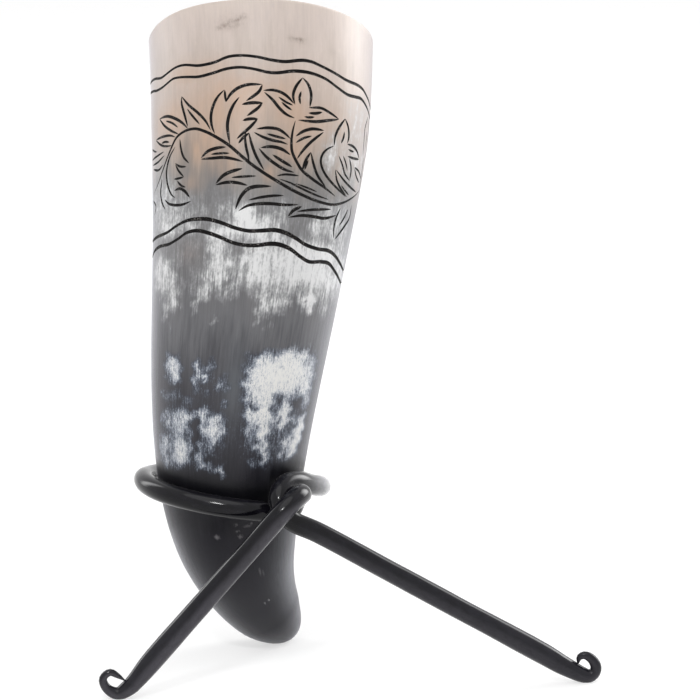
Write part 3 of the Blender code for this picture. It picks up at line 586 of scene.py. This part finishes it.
def smooth_route(points, steps):
    """Centripetal curve through the points, with the given steps between neighbours."""
    points = [np.array(point, float) for point in points]
    ends = [2 * points[0] - points[1], *points, 2 * points[-1] - points[-2]]
    route = []
    for i in range(1, len(ends) - 2):
        p0, p1, p2, p3 = ends[i - 1 : i + 3]
        t1 = math.sqrt(np.linalg.norm(p1 - p0))
        t2 = t1 + math.sqrt(np.linalg.norm(p2 - p1))
        t3 = t2 + math.sqrt(np.linalg.norm(p3 - p2))
        for k in range(steps):
            t = t1 + (t2 - t1) * k / steps
            a1 = p0 + (p1 - p0) * t / t1
            a2 = p1 + (p2 - p1) * (t - t1) / (t2 - t1)
            a3 = p2 + (p3 - p2) * (t - t2) / (t3 - t2)
            b1 = a1 + (a2 - a1) * t / t2
            b2 = a2 + (a3 - a2) * (t - t1) / (t3 - t1)
            route.append(b1 + (b2 - b1) * (t - t1) / (t2 - t1))
    return np.array([*route, points[-1]])


def lengths_along(points):
    """Length of the route up to each of its points."""
    return np.concatenate(([0.0], np.cumsum(np.linalg.norm(np.diff(points, axis=0), axis=1))))


def even_route(points, step):
    """The same route with evenly spaced points, about a step apart."""
    lengths = lengths_along(points)
    count = max(int(round(lengths[-1] / step)), FEWEST_STEPS)
    places = np.linspace(0.0, lengths[-1], count + 1)
    return np.stack([np.interp(places, lengths, line) for line in points.T], -1)


def engraved_strokes():
    """Each stroke's centre line on the unrolled horn, half widths, and whether it runs level."""
    strokes = []
    for turn in (0.0, 180.0):
        for width, *flat in FOLIAGE:
            places = (np.reshape(flat, (-1, 2)) + (turn, 0.0)) * (MM_PER_DEGREE, 1.0)
            line = even_route(smooth_route(places, STROKE_ROUTE_STEPS), STROKE_STEP)
            share = np.linspace(-1.0, 1.0, len(line))
            swell = np.maximum(1 - np.abs(share) ** SWELL_POWER, 0.0) ** SWELL_ROUNDING
            half = STROKE_GAIN * width * PHOTO_PIXEL / 2 * np.maximum(swell, STROKE_END)
            strokes.append((line, half, False))
    for (width, *flat), gaps in zip(WAVY_LINES, LINE_GAPS):
        places = np.reshape(flat, (-1, 2))
        turn = (360.0, 0.0)
        lap = np.vstack((places[-LAP_PLACES:] - turn, places, places[:LAP_PLACES] + turn))
        breaks = [gap + side * LINE_GAP_WIDTH / 2 for gap in gaps for side in (-1, 1)]
        ends = [SEAM, *breaks, SEAM + 360.0]
        for start, end in zip(ends[::2], ends[1::2]):
            count = max(int((end - start) * MM_PER_DEGREE / STROKE_STEP), 2) + 1
            degrees = np.linspace(start, end, count)
            swings = [np.sin(np.radians(degrees * times + phase)) for times, phase in LINE_SWINGS]
            half = width * PHOTO_PIXEL / 2 * (1 + LINE_WOBBLE * math.prod(swings))
            line = np.stack((degrees * MM_PER_DEGREE, curve_through(lap, degrees)), -1)
            strokes.append((line, half, True))
    return strokes


def groove_depth(points, strokes):
    """Depth of the engraving at points on the unrolled horn."""
    depth = np.zeros(len(points))
    for line, half, _ in strokes:
        reach = half.max()
        near = np.all((points >= line.min(0) - reach) & (points <= line.max(0) + reach), axis=1)
        start = line[:-1]
        run = line[1:] - start
        away = points[near][:, None] - start
        share = np.clip((away * run).sum(-1) / (run * run).sum(-1), 0.0, 1.0)
        distance = np.linalg.norm(away - share[..., None] * run, axis=-1)
        width = half[:-1] + (half[1:] - half[:-1]) * share
        depth[near] = np.maximum(depth[near], (GROOVE_SLOPE * (width - distance)).max(1))
    return np.maximum(depth, 0.0)


def band_triangles(columns, rows, strokes):
    """Triangles of the unrolled band that follow every stroke's edges and bottom."""
    points, edges, bottoms = [], [], []
    for line, half, level in strokes:
        run = np.gradient(line, axis=0)
        side = unit(np.stack((-run[:, 1], run[:, 0]), -1))
        if level:
            side[:] = (0.0, 1.0)
        reach = side * half[:, None]
        chains = np.arange(3 * len(line)).reshape(3, -1) + len(points)
        points.extend(map(tuple, np.vstack((line + reach, line, line - reach))))
        for chain in (*chains.tolist(), chains[:, 0].tolist(), chains[:, -1].tolist()):
            edges.extend(zip(chain, chain[1:]))
        bottoms.append(np.concatenate((line, half[:, None]), 1))
    bottoms = np.vstack(bottoms)
    for x in columns:
        nearby = bottoms[np.abs(bottoms[:, 0] - x) < STROKE_SEARCH]
        for y in rows:
            gap = np.hypot(nearby[:, 0] - x, nearby[:, 1] - y) - nearby[:, 2]
            if y in (rows[0], rows[-1]) or np.all(gap > STROKE_CLEARANCE):
                points.append((x, y))
    corners = [Vector(point) for point in points]
    result = geometry.delaunay_2d_cdt(corners, edges, [], 0, WELD_DISTANCE, False)
    return np.array([tuple(corner) for corner in result[0]]), result[2]


def onward(loop):
    return [*loop[1:], loop[0]]


def strips(loops):
    """Quads between neighbouring closed loops of vertices."""
    quads = []
    for lower, upper in zip(loops, loops[1:]):
        quads += zip(lower, onward(lower), onward(upper), upper)
    return quads


def fan(middle, loop):
    """Triangles from a middle vertex to a closed loop."""
    return [(middle, a, b) for a, b in zip(loop, onward(loop))]


def horn_mesh():
    """Rows of degrees, along, place and normal for each vertex, faces, and which are engraved."""
    vertices = {}
    zero = np.zeros(1)
    plain = np.zeros((COLUMNS, 3))

    def gather(part, degrees, along, places, normals):
        """Numbers of the vertices at these places, which neighbours share."""
        found = []
        for d, s, place, normal in zip(degrees, along, places, normals):
            key = (part, round((d - SEAM) % 360.0, 3) % 360.0, round(float(s), 3))
            found.append(vertices.setdefault(key, (len(vertices), d, s, *place, *normal))[0])
        return found

    def outer_row(along):
        level = np.full(COLUMNS, along)
        places, normals = outer_place(AROUND, level), outer_normal(AROUND, level)
        return gather("outer", AROUND, level, places, normals)

    levels = (
        *(TIP_ROUNDING * (1 - np.cos(quarter_turns(TIP_ROWS)))),
        *np.arange(TIP_ROUNDING + ROW_STEP, FINE_FROM, ROW_STEP),
        *levels_between(FINE_FROM, BAND_LOW, FINE_STEP),
    )
    rows = [outer_row(along) for along in levels]
    tip = gather("tip", zero, zero, outer_place(zero, zero), -horn_direction(zero))[0]
    faces = fan(tip, rows[0][::-1]) + strips(rows)

    strokes = engraved_strokes()
    columns = np.append(AROUND, SEAM + 360.0) * MM_PER_DEGREE
    flat, triangles = band_triangles(columns, levels_between(BAND_LOW, BAND_HIGH, ROW_STEP), strokes)
    degrees, along = flat[:, 0] / MM_PER_DEGREE, flat[:, 1]
    normals = outer_normal(degrees, along)
    places = outer_place(degrees, along) - normals * groove_depth(flat, strokes)[:, None]
    found = gather("outer", degrees, along, places, normals)
    middles = np.array([flat[list(triangle)].mean(0) for triangle in triangles])
    inked = [False] * len(faces)
    known = set()
    for triangle, depth in zip(triangles, groove_depth(middles, strokes)):
        face = tuple(found[corner] for corner in triangle)
        if len(set(face)) == 3 and frozenset(face) not in known:
            known.add(frozenset(face))
            faces.append(face)
            inked.append(depth > INK_DEPTH)

    top = HORN_LENGTH - LIP_ROUNDING
    rows = [outer_row(along) for along in levels_between(BAND_HIGH, top, FINE_STEP)]
    wobble = waves(LIP_WAVES, np.radians(AROUND))
    sines, cosines = np.sin(quarter_turns(LIP_ROWS)), np.cos(quarter_turns(LIP_ROWS))
    lip = [*zip(sines, LIP_ROUNDING * (1 - cosines))]
    lip += zip(cosines, LIP_WALL - LIP_ROUNDING * (1 - sines))
    for order, (rise, inset) in enumerate(lip):
        level = top + (LIP_ROUNDING + wobble) * rise
        radius = MOUTH_DIAMETER / 2 - inset + side_swell(AROUND, level)
        places = horn_place(AROUND, level + rim_rise(AROUND, level), radius)
        rows.append(gather("lip%d" % order, AROUND, level, places, plain))
    wall = np.linspace(top - WALL_BELOW_LIP, CAVITY_BOTTOM + CAVITY_ROUNDING, WALL_ROWS)
    for along in (*wall, *BOTTOM_LEVELS[::-1]):
        level = np.full(COLUMNS, along)
        places = horn_place(AROUND, level, wall_radius(level))
        rows.append(gather("wall", AROUND, level, places, plain))
    level = zero + CAVITY_BOTTOM
    floor = gather("floor", zero, level, horn_place(zero, level, zero), plain)[0]
    faces += strips(rows) + fan(floor, rows[-1])
    inked += [False] * (len(faces) - len(inked))
    return np.array(list(vertices.values()))[:, 1:], faces, np.array(inked)


def add_to_scene(name, data):
    thing = bpy.data.objects.new(name, data)
    bpy.context.scene.collection.objects.link(thing)
    return thing


def new_object(name, places, faces):
    mesh = bpy.data.meshes.new(name)
    mesh.from_pydata([tuple(place) for place in places], [], [tuple(face) for face in faces])
    mesh.validate()
    mesh.shade_smooth()
    return add_to_scene(name, mesh)


def store(mesh, **fields):
    """Keeps a number or a vector for each vertex, under each name."""
    for name, values in fields.items():
        kind, key = ("FLOAT_VECTOR", "vector") if values.ndim > 1 else ("FLOAT", "value")
        attribute = mesh.attributes.new(name, kind, "POINT")
        attribute.data.foreach_set(key, values.astype(np.float32).ravel())


def turn_from(degrees, middle):
    """Turn from the middle, up to half a turn either way."""
    return (degrees - middle + 180.0) % 360.0 - 180.0


def ovals(patches, degrees, along):
    """Each patch's weight, and the places as shares of its half width and half height."""
    for middle, height, half_width, half_height, weight in patches:
        yield weight, turn_from(degrees, middle) / half_width, (along - height) / half_height


def field(patches, degrees, along, power=2.0):
    """Sum of soft patches on the horn, flatter and squarer with a higher power."""
    return sum(
        weight * np.exp(-PATCH_FADE * (np.abs(across) ** power + np.abs(up) ** power))
        for weight, across, up in ovals(patches, degrees, along)
    )


def rings(knots, degrees, along):
    """Sum of soft oval rings on the horn."""
    return sum(
        weight * np.exp(-(((np.hypot(across, up) - KNOT_RING) / KNOT_SOFTNESS) ** 2))
        for weight, across, up in ovals(knots, degrees, along)
    )


def grain_places(degrees, along):
    """Places in centimetres on a straight cylinder, for patterns that run with the fibres."""
    turn = np.radians(degrees)
    across = GRAIN_RADIUS * np.cos(turn), GRAIN_RADIUS * np.sin(turn)
    return np.stack((*across, along / MM_PER_CM), -1)


def round_ring(places):
    """Angle round the iron ring's axis, and distance from it."""
    right, back = (places - RING_AXIS)[:, :2].T
    return np.degrees(np.arctan2(-back, right)), np.hypot(right, back)


def ring_rub(places):
    """How far painted shade of the iron ring darkens the horn, from the places' heights above the ring.
    """
    start, end = RING_LAY[0][0], RING_LAY[-1][0]
    angle = (round_ring(places)[0] - start) % 360.0 + start
    ring = RING_HEIGHT + curve_through(RING_LAY, np.minimum(angle, end)) * BAR_PITCH
    return eased((RUB_HEIGHT - np.abs(places[:, 2] - ring - RUB_RAISE)) / RUB_FADE)


def build_horn():
    vertices, faces, inked = horn_mesh()
    degrees, along, places, normals = *vertices[:, :2].T, vertices[:, 2:5], vertices[:, 5:]
    places[:, 2] = np.maximum(places[:, 2], 0.0)
    horn = new_object("engraved_horn", places * MM, faces)
    mesh = horn.data
    strayed = [
        start + reach * np.sin(per_millimetre * along + per_degree * degrees)
        for start, (reach, per_millimetre, per_degree) in zip((degrees, along), PATCH_STRAY)
    ]
    pale = field(PALE_PATCHES, *strayed, PATCH_POWER) - field(DARK_PATCHES, *strayed, PATCH_POWER)
    pale = 1 - np.exp(-PATCH_GAIN * np.maximum(pale, 0.0))
    store(
        mesh,
        grain=grain_places(degrees, along),
        pale=np.maximum(pale, rings(KNOTS, degrees, along)),
        warm=field(WARM_PATCHES, degrees, along),
        smudge=field(SMUDGES, degrees, along),
        scuff=field(SCUFFS, degrees, along),
        rubbed=ring_rub(places),
    )
    mesh.materials.append(horn_material())
    mesh.materials.append(ink_material())
    mesh.polygons.foreach_set("material_index", inked.astype(np.int32))
    corners = np.zeros(len(mesh.loops), np.int32)
    mesh.loops.foreach_get("vertex_index", corners)
    corner_normals = normals[corners]
    corner_normals[np.repeat(inked, [len(face) for face in faces])] = 0.0
    mesh.normals_split_custom_set([tuple(normal) for normal in corner_normals])
    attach(horn, "horn")
    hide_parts("horn_shell")


def build_lining():
    """Brushed-on sealing coat, with an uneven upper edge."""
    edge = waves(LINING_WAVES, np.radians(AROUND))
    top = HORN_LENGTH - LINING_BELOW_LIP - LINING_EDGE_ROOM
    levels = [*BOTTOM_LEVELS, *np.linspace(CAVITY_BOTTOM + CAVITY_ROUNDING, top, LINING_ROWS)]
    places = []
    for inset, order in ((LINING_GAP, levels), (LINING_GAP + LINING_THICKNESS, levels[::-1])):
        for along in order:
            lift = np.clip((along - top) / LINING_EDGE_FADE + 1.0, 0.0, 1.0)
            level = along + inset + edge * lift
            places.extend(horn_place(AROUND, level, wall_radius(level - inset) - inset))
    loops = np.arange(len(places)).reshape(-1, COLUMNS).tolist()
    faces = [*strips(loops), loops[0][::-1], loops[-1]]
    lining = new_object("wax_lining", np.array(places) * MM, faces)
    lining.data.materials.append(wax_material())
    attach(lining, "horn")
    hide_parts("sealing_lining")


def leg_and_scroll(start, foot, scroll):
    """Leg from the clasp down to its foot, and the scroll that the foot curls up into."""
    outward = unit(np.array(foot) - start[:2])
    curl = [np.array((*(foot + outward * out), height, radius)) for out, height, radius in scroll]
    return [start + (curl[0] - start) * share for share in (1 / 3, 2 / 3)] + curl


def ring_place(angle, height):
    turn = math.radians(angle)
    level = RING_HEIGHT + height
    return np.array((RING_RADIUS * math.cos(turn), -RING_RADIUS * math.sin(turn), level, BAR_RADIUS))


def stand_route():
    """Even points along the whole bar from the left toe to the right toe, and its radius there."""
    knot = ring_place(KNOT_ANGLE, 0.0)
    hairpin, hook = (
        [knot + np.array((*bend, 0.0)) * BAR_PITCH for bend in bends]
        for bends in (HAIRPIN_BENDS, HOOK_BENDS)
    )
    angles = np.arange(RING_LAY[0][0], RING_LAY[-1][0] + 1, RING_STEP)
    lay = curve_through(RING_LAY, angles) * BAR_PITCH
    ring = [ring_place(angle, height) for angle, height in zip(angles, lay)]
    left = leg_and_scroll(hairpin[0], LEFT_FOOT, LEFT_SCROLL)
    right = leg_and_scroll(hook[-1], RIGHT_FOOT, RIGHT_SCROLL)
    route = smooth_route([*left[::-1], *hairpin, *ring, *hook, *right], BAR_ROUTE_STEPS)
    route = even_route(route, BAR_STEP)
    return route[:, :3] + RING_AXIS, route[:, 3]


def carried_frames(points):
    """Direction along the bar at each point, and two across it, carried along without twist."""
    along = unit(np.gradient(points, axis=0))
    across = np.zeros_like(points)
    across[0] = unit(np.cross(along[0], (0.0, 0.0, 1.0)))
    for i in range(1, len(points)):
        across[i] = unit(across[i - 1] - along[i] * (across[i - 1] @ along[i]))
    return along, across, np.cross(along, across)


def burnish(points):
    """How far painted sheen lightens the bar, at the outer bends of the ring."""
    angle, distance = round_ring(points)
    worn = sum(
        weight * np.exp(-((turn_from(angle, middle) / width) ** 2))
        for middle, width, weight in BURNISHED
    )
    return worn * (np.abs(distance - RING_RADIUS) < BAR_RADIUS)


def dust(points, sides):
    """How far painted reflection of the floor lightens the bar, on the lower side of the legs."""
    away = round_ring(points)[1] - RING_RADIUS
    on_leg = np.clip((away - DUST_START) / (DUST_FULL - DUST_START), 0.0, 1.0)
    on_leg[len(points) // 2 :] *= DUST_RIGHT
    return np.clip(sides @ unit(np.array(DUST_SIDE)), 0.0, 1.0) * on_leg[:, None]


def build_stand():
    points, radius = stand_route()
    along, across, other = carried_frames(points)
    distance = lengths_along(points)
    angles = np.arange(BAR_SIDES) * 2 * np.pi / BAR_SIDES
    dents = np.zeros((len(points), BAR_SIDES))
    for k, (pitch, phase, facing) in enumerate(HAMMER_MARKS):
        swing = np.maximum(np.sin(distance / pitch + phase), 0.0)
        lean = angles - facing - HAMMER_SWAY * np.sin(distance / HAMMER_SWAY_PITCH + k)[:, None]
        dents += swing[:, None] * np.maximum(np.cos(lean), 0.0) ** HAMMER_NARROWNESS
    depth = HAMMER_DEPTH * (np.minimum(dents, HAMMER_LIMIT) - HAMMER_LEVEL)
    sides = across[:, None] * np.cos(angles)[:, None] + other[:, None] * np.sin(angles)[:, None]
    skin = points[:, None] + sides * (radius[:, None] * (1 - depth))[..., None]
    toes = [
        points[end] + outward * along[end] * radius[end] * TOE_ROUNDING
        for end, outward in ((0, -1), (-1, 1))
    ]
    places = np.vstack((skin.reshape(-1, 3), toes))
    places[:, 2] = np.maximum(places[:, 2], 0.0)
    loops = np.arange(skin[..., 0].size).reshape(-1, BAR_SIDES).tolist()
    left, right = len(places) - 2, len(places) - 1
    faces = strips(loops) + fan(left, loops[0][::-1]) + fan(right, loops[-1])
    stand = new_object("forged_stand", places * MM, faces)

    def with_toes(values, *toe_values):
        return np.append(np.broadcast_to(values, dents.shape), toe_values or (0.0, 0.0))

    turn = with_toes(angles)
    level = with_toes(distance[:, None], 0.0, distance[-1])
    store(
        stand.data,
        worn=with_toes(burnish(points)[:, None]),
        dusty=with_toes(dust(points, sides)),
        grain=np.stack((np.cos(turn) * BAR_GRAIN, np.sin(turn) * BAR_GRAIN, level / MM_PER_CM), -1),
    )
    stand.data.materials.append(iron_material())
    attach(stand, "stand")
    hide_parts("stand_bar")


def linear(*screen):
    """Colour from red, green and blue screen values of 0 to 255."""
    shares = [value / 255 for value in screen]
    low = 0.04045
    return (*(s / 12.92 if s <= low else ((s + 0.055) / 1.055) ** 2.4 for s in shares), 1.0)


class Nodes:
    """Short calls for building the node tree of a material, a lamp or the world."""

    def __init__(self, owner, shader):
        owner.use_nodes = True
        self.owner = owner
        self.tree = owner.node_tree
        self.shader = next(node for node in self.tree.nodes if node.type == shader)

    def add(self, kind, inputs, **settings):
        node = self.tree.nodes.new("ShaderNode" + kind)
        for key, value in settings.items():
            setattr(node, key, value)
        for key, value in inputs.items():
            self.put(node, key, value)
        return node

    def put(self, node, key, value):
        if isinstance(value, bpy.types.NodeSocket):
            self.tree.links.new(value, node.inputs[key])
        else:
            node.inputs[key].default_value = value

    def attribute(self, name, output="Fac"):
        return self.add("Attribute", {}, attribute_name=name).outputs[output]

    def split(self, vector):
        return self.add("SeparateXYZ", {0: vector}).outputs

    def math(self, operation, a, b=0.0, clamp=False):
        return self.add("Math", {0: a, 1: b}, operation=operation, use_clamp=clamp).outputs[0]

    def times(self, a, b, clamp=False):
        return self.math("MULTIPLY", a, b, clamp)

    def plus(self, first, *others):
        for other in others:
            first = self.math("ADD", first, other)
        return first

    def total(self, *parts):
        """Sum of values, each with its weight."""
        return self.plus(*(self.times(value, weight) for value, weight in parts))

    def noise(self, vector, scale, detail=4.0, roughness=0.5, stretch=1.0):
        placed = self.add("Mapping", {"Vector": vector, "Scale": (1.0, 1.0, stretch)}).outputs[0]
        inputs = {"Vector": placed, "Scale": scale, "Detail": detail, "Roughness": roughness}
        return self.add("TexNoise", inputs).outputs[0]

    def swing(self, *pattern):
        """Noise spread to about -1 to 1 around nought."""
        return self.times(self.math("SUBTRACT", self.noise(*pattern), 0.5), 4.0)

    def ease(self, value, low, high, start=0.0, end=1.0):
        inputs = {0: value, 1: low, 2: high, 3: start, 4: end}
        return self.add("MapRange", inputs, interpolation_type="SMOOTHSTEP").outputs[0]

    def level(self, value, start, end):
        return self.add("MapRange", {0: value, 3: start, 4: end}).outputs[0]

    def ramp(self, value, stops):
        node = self.add("ValToRGB", {0: value})
        points = node.color_ramp.elements
        while len(points) < len(stops):
            points.new(1.0)
        for point, (place, *screen) in zip(points, stops):
            point.position = place
            point.color = linear(*screen)
        return node.outputs[0]

    def mix(self, factor, a, b, blend="MIX"):
        node = self.add("Mix", {0: factor, 6: a, 7: b}, data_type="RGBA", blend_type=blend)
        return node.outputs[2]

    def paint(self, colour, factor, *screen):
        return self.mix(factor, colour, linear(*screen))

    def blend(self, factor, a, b):
        return self.add("Mix", {0: factor, 2: a, 3: b}, data_type="FLOAT").outputs[0]

    def bump(self, height, strength, distance):
        inputs = {"Height": height, "Strength": strength, "Distance": distance}
        self.put(self.shader, "Normal", self.add("Bump", inputs).outputs[0])

    def seen(self):
        """One for rays by which the backdrop is seen, and nought for rays of light."""
        rays = self.add("LightPath", {}).outputs
        direct = self.math("MAXIMUM", rays["Is Camera Ray"], rays["Is Glossy Ray"])
        return self.math("MAXIMUM", direct, rays["Is Transmission Ray"])

    def finish(self, **values):
        for key, value in values.items():
            self.put(self.shader, key.replace("_", " "), value)
        return self.owner


def material(name):
    return Nodes(bpy.data.materials.new(name), "BSDF_PRINCIPLED")


def horn_material():
    n = material("polished_horn")
    grain = n.attribute("grain", "Vector")
    along = n.math("DIVIDE", n.split(grain)[2], HORN_LENGTH / MM_PER_CM)
    broad = n.swing(grain, 1.1, 3.0, 0.55, 0.30)
    streak = n.swing(grain, 9.0, 6.0, 0.65, 0.07)
    fibre = n.swing(grain, 30.0, 4.0, 0.6, 0.05)
    mottle = n.swing(grain, 3.6, 6.0, 0.62, 0.50)
    crumb = n.swing(grain, 12.0, 5.0, 0.65, 0.62)
    grit = n.swing(grain, 22.0, 3.0, 0.60)

    # Colour along the horn, with warm stains, veins and clouds
    body = n.ramp(n.plus(along, n.total((broad, 0.030), (streak, 0.016))), HORN_COLOURS)
    warm = n.times(n.attribute("warm"), n.ease(broad, -0.9, 0.5, 0.35, 1.0))
    body = n.paint(body, n.times(warm, 0.85, clamp=True), 199, 167, 143)
    vein = n.total((streak, 0.12), (fibre, 0.05))
    calm = n.times(n.ease(along, 0.60, 0.80, 1.0, 0.26), n.ease(along, 0.46, 0.54, 1.0, 1.5))
    cloud = n.times(n.plus(mottle, broad), n.ease(along, 0.24, 0.36, 0.09, 0.035))
    body = n.mix(1.0, body, n.plus(n.times(vein, calm), cloud, 1.0), "MULTIPLY")
    creamy = n.ease(along, 0.80, 0.90, 0.0, 0.38)
    body = n.paint(body, n.times(n.ease(mottle, 0.1, 1.1), creamy), 194, 183, 180)
    body = n.paint(body, n.times(n.ease(mottle, -1.0, -0.1, 1.0, 0.0), creamy), 224, 210, 200)

    # Scuffs with painted sheen on the tip's sides, and the ring's painted shade
    scuffed = n.ease(n.plus(streak, mottle), -1.6, 0.8, 0.35, 0.75)
    body = n.paint(body, n.times(n.attribute("scuff"), scuffed), 98, 101, 106)
    # Painted shade and reflection of the iron ring, darkening the horn and its sheen just above the
    # ring
    rubbed = n.attribute("rubbed")
    body = n.paint(body, n.times(rubbed, 0.7), 12, 12, 15)

    # Pale patches: chalky in the upper half, and frosty with grey under them below it
    upper = n.ease(along, 0.515, 0.555)
    belt = n.times(n.ease(along, 0.58, 0.63), n.ease(along, 0.70, 0.76, 0.20, 0.0))
    pale = n.plus(n.times(n.attribute("pale"), n.blend(upper, 1.08, 1.0)), belt)
    coarse = n.total((crumb, 0.32), (grit, 0.16), (fibre, 0.20), (streak, 0.16))
    drawn = n.total((streak, 0.25), (mottle, 0.26), (fibre, 0.24), (crumb, 0.26))
    edge = n.plus(n.math("SUBTRACT", pale, 0.5), n.blend(upper, coarse, drawn))
    white = n.ease(edge, n.blend(upper, -0.40, -0.55), n.blend(upper, 0.34, 0.55))
    white = n.times(white, n.ease(pale, 0.04, 0.24))
    under = n.times(n.ease(pale, 0.05, 0.45), n.math("SUBTRACT", 1.0, upper))
    body = n.paint(body, n.times(under, 0.7), 54, 57, 67)
    chalk = n.mix(n.ease(edge, -0.2, 0.5), linear(176, 177, 179), linear(240, 240, 240))
    depth = n.plus(pale, n.times(n.plus(grit, crumb, fibre), 0.20))
    frost = n.ramp(n.ease(depth, 0.20, 1.06), FROST_COLOURS)
    patch = n.mix(upper, frost, chalk)
    body = n.mix(n.times(white, n.blend(upper, 1.0, 0.94)), body, patch)

    # Smudges by the rim, and chips
    smear = n.times(n.attribute("smudge"), n.ease(crumb, -0.8, 0.7, 0.25, 1.0))
    body = n.paint(body, n.times(smear, 0.75, clamp=True), 134, 116, 106)
    ragged = n.times(n.plus(grit, crumb), CHIP_RAGGEDNESS)
    chips = 0.0
    for degrees, height, radius, (wide, tall), strength in CHIPS:
        scale = np.array((1.0, 1.0, CHIP_GIRTH)) * (1 / wide, 1 / wide, 1 / tall)
        centre = grain_places(np.array(degrees), np.array(height)) * scale
        placed = n.add("Mapping", {"Vector": grain, "Scale": scale}).outputs[0]
        away = n.add("VectorMath", {0: placed, 1: centre}, operation="DISTANCE").outputs["Value"]
        chip = n.ease(n.plus(away, ragged), 0.0, radius * CHIP_GIRTH / MM_PER_CM, strength, 0.0)
        chips = n.math("MAXIMUM", chip, chips)
    body = n.paint(body, chips, 206, 202, 206)

    n.bump(n.total((fibre, 0.6), (streak, 0.4)), 0.12, 0.0003)
    return n.finish(
        Base_Color=body,
        Roughness=n.ease(streak, -1.0, 1.0, 0.28, 0.42),
        Specular_IOR_Level=n.ease(along, 0.25, 0.45, 0.2, 0.3),
        Sheen_Weight=n.ease(rubbed, 0.0, 1.0, 0.8, 0.05),
        Sheen_Roughness=0.35,
        Sheen_Tint=(0.92, 0.92, 1.0, 1.0),
    )


def ink_material():
    n = material("engraving_ink")
    grain = n.attribute("grain", "Vector")
    colour = n.ramp(n.noise(grain, 16.0, 5.0, 0.6), INK_COLOURS)
    # Pale flecks in the ink are painted highlights on the groove edges
    flecks = n.ease(n.noise(grain, 24.0, 3.0, 0.6), 0.56, 0.66)
    flecks = n.times(flecks, n.ease(n.noise(grain, 2.4, 2.0), 0.46, 0.62, 0.0, 0.7))
    colour = n.paint(colour, flecks, 176, 170, 166)
    n.bump(n.noise(grain, 60.0), 0.3, 0.0002)
    return n.finish(Base_Color=colour, Roughness=0.6, Specular_IOR_Level=0.12)


def wax_material():
    n = material("wax_seal")
    place = n.add("TexCoord", {}).outputs["Object"]
    cloud = n.noise(place, 40.0, 5.0, 0.55)
    n.bump(n.noise(place, 130.0, 3.0, 0.5, 0.15), 0.25, 0.0006)
    gloss = n.ease(cloud, 0.3, 0.7, 0.24, 0.40)
    return n.finish(Base_Color=n.ramp(cloud, WAX_COLOURS), Roughness=gloss, Coat_Weight=0.3)


def iron_material():
    n = material("black_iron")
    grain = n.attribute("grain", "Vector")
    scale = n.noise(grain, 6.0, 6.0, 0.6, 0.5)
    pits = n.noise(grain, 42.0, 4.0, 0.6)
    drawn = n.noise(grain, 26.0, 3.0, 0.5, 0.06)
    colour = n.ramp(scale, IRON_COLOURS)
    # Painted sheen on the ring's outer bends
    worn = n.times(n.attribute("worn"), n.ease(scale, 0.2, 0.6, 0.75, 1.0))
    colour = n.paint(colour, worn, 186, 186, 189)
    height = n.split(n.add("TexCoord", {}).outputs["Object"])[2]
    low = n.times(n.ease(height, 0.012, 0.060, 0.55, 0.0), n.ease(scale, 0.3, 0.6, 0.6, 1.0))
    colour = n.paint(colour, low, 44, 43, 50)
    # Painted reflection of the pale floor, on the lower side of the legs
    dusty = n.ease(n.attribute("dusty"), 0.08, 0.80)
    colour = n.paint(colour, n.times(dusty, n.ease(scale, 0.3, 0.6, 0.8, 1.0)), 84, 82, 89)
    n.bump(n.total((pits, 0.5), (drawn, 0.5)), 0.04, 0.0003)
    return n.finish(
        Base_Color=colour,
        Roughness=n.ease(scale, 0.3, 0.7, 0.09, 0.16),
        Specular_IOR_Level=0.23,
        Sheen_Weight=0.08,
        Sheen_Roughness=0.3,
    )


def soften(lamp):
    """Fades a panel lamp's glow from its middle to its edges, as through a diffuser."""
    n = Nodes(lamp, "EMISSION")
    across = n.split(n.add("NewGeometry", {}).outputs["Parametric"])
    glow = [n.math("SINE", n.times(across[axis], math.pi)) for axis in (0, 1)]
    n.finish(Strength=n.level(n.times(*glow), 0.0, PANEL_PEAK))


def point_lamp(name, data, direction):
    lamp = add_to_scene(name, data)
    lamp.rotation_euler = direction.to_track_quat("-Z", "Y").to_euler()
    return lamp


def build_stage():
    square = np.array(((-1, -1, 0), (1, -1, 0), (1, 1, 0), (-1, 1, 0)))
    floor = new_object("floor", square * FLOOR_REACH, [(0, 1, 2, 3)])
    white = (1.0, 1.0, 1.0, 1.0)
    n = material("pale_floor")
    floor.data.materials.append(
        n.finish(
            Base_Color=(FLOOR_ALBEDO, FLOOR_ALBEDO, FLOOR_ALBEDO, 1.0),
            Roughness=1.0,
            Specular_IOR_Level=0.0,
            Emission_Color=white,
            Emission_Strength=n.times(n.seen(), FLOOR_GLOW),
        )
    )

    scene = bpy.context.scene
    scene.world = bpy.data.worlds.new("studio")
    n = Nodes(scene.world, "BACKGROUND")
    n.finish(Color=white, Strength=n.level(n.seen(), WORLD_LIGHT, 1.0))

    for name, energy, size, place, aim in LAMPS:
        data = bpy.data.lights.new(name, "AREA")
        data.shape = "RECTANGLE"
        data.size, data.size_y = size
        data.energy = energy
        soften(data)
        point_lamp(name, data, Vector(aim) - Vector(place)).location = place
    data = bpy.data.lights.new("overhead", "SUN")
    data.energy = SUN_STRENGTH
    data.angle = math.radians(SUN_SPREAD)
    point_lamp("overhead", data, Vector(SUN_DIRECTION))

    data = bpy.data.cameras.new("camera")
    data.lens = CAMERA_LENS
    data.sensor_width = SENSOR_WIDTH
    data.clip_end = CAMERA_CLIP_END
    scene.camera = add_to_scene("camera", data)
    scene.camera.location = CAMERA_PLACE
    scene.camera.rotation_euler = (math.radians(90.0 - CAMERA_ELEVATION), 0.0, 0.0)
    scene.view_settings.view_transform = "Standard"


build_stage()
build_horn()
build_lining()
build_stand()
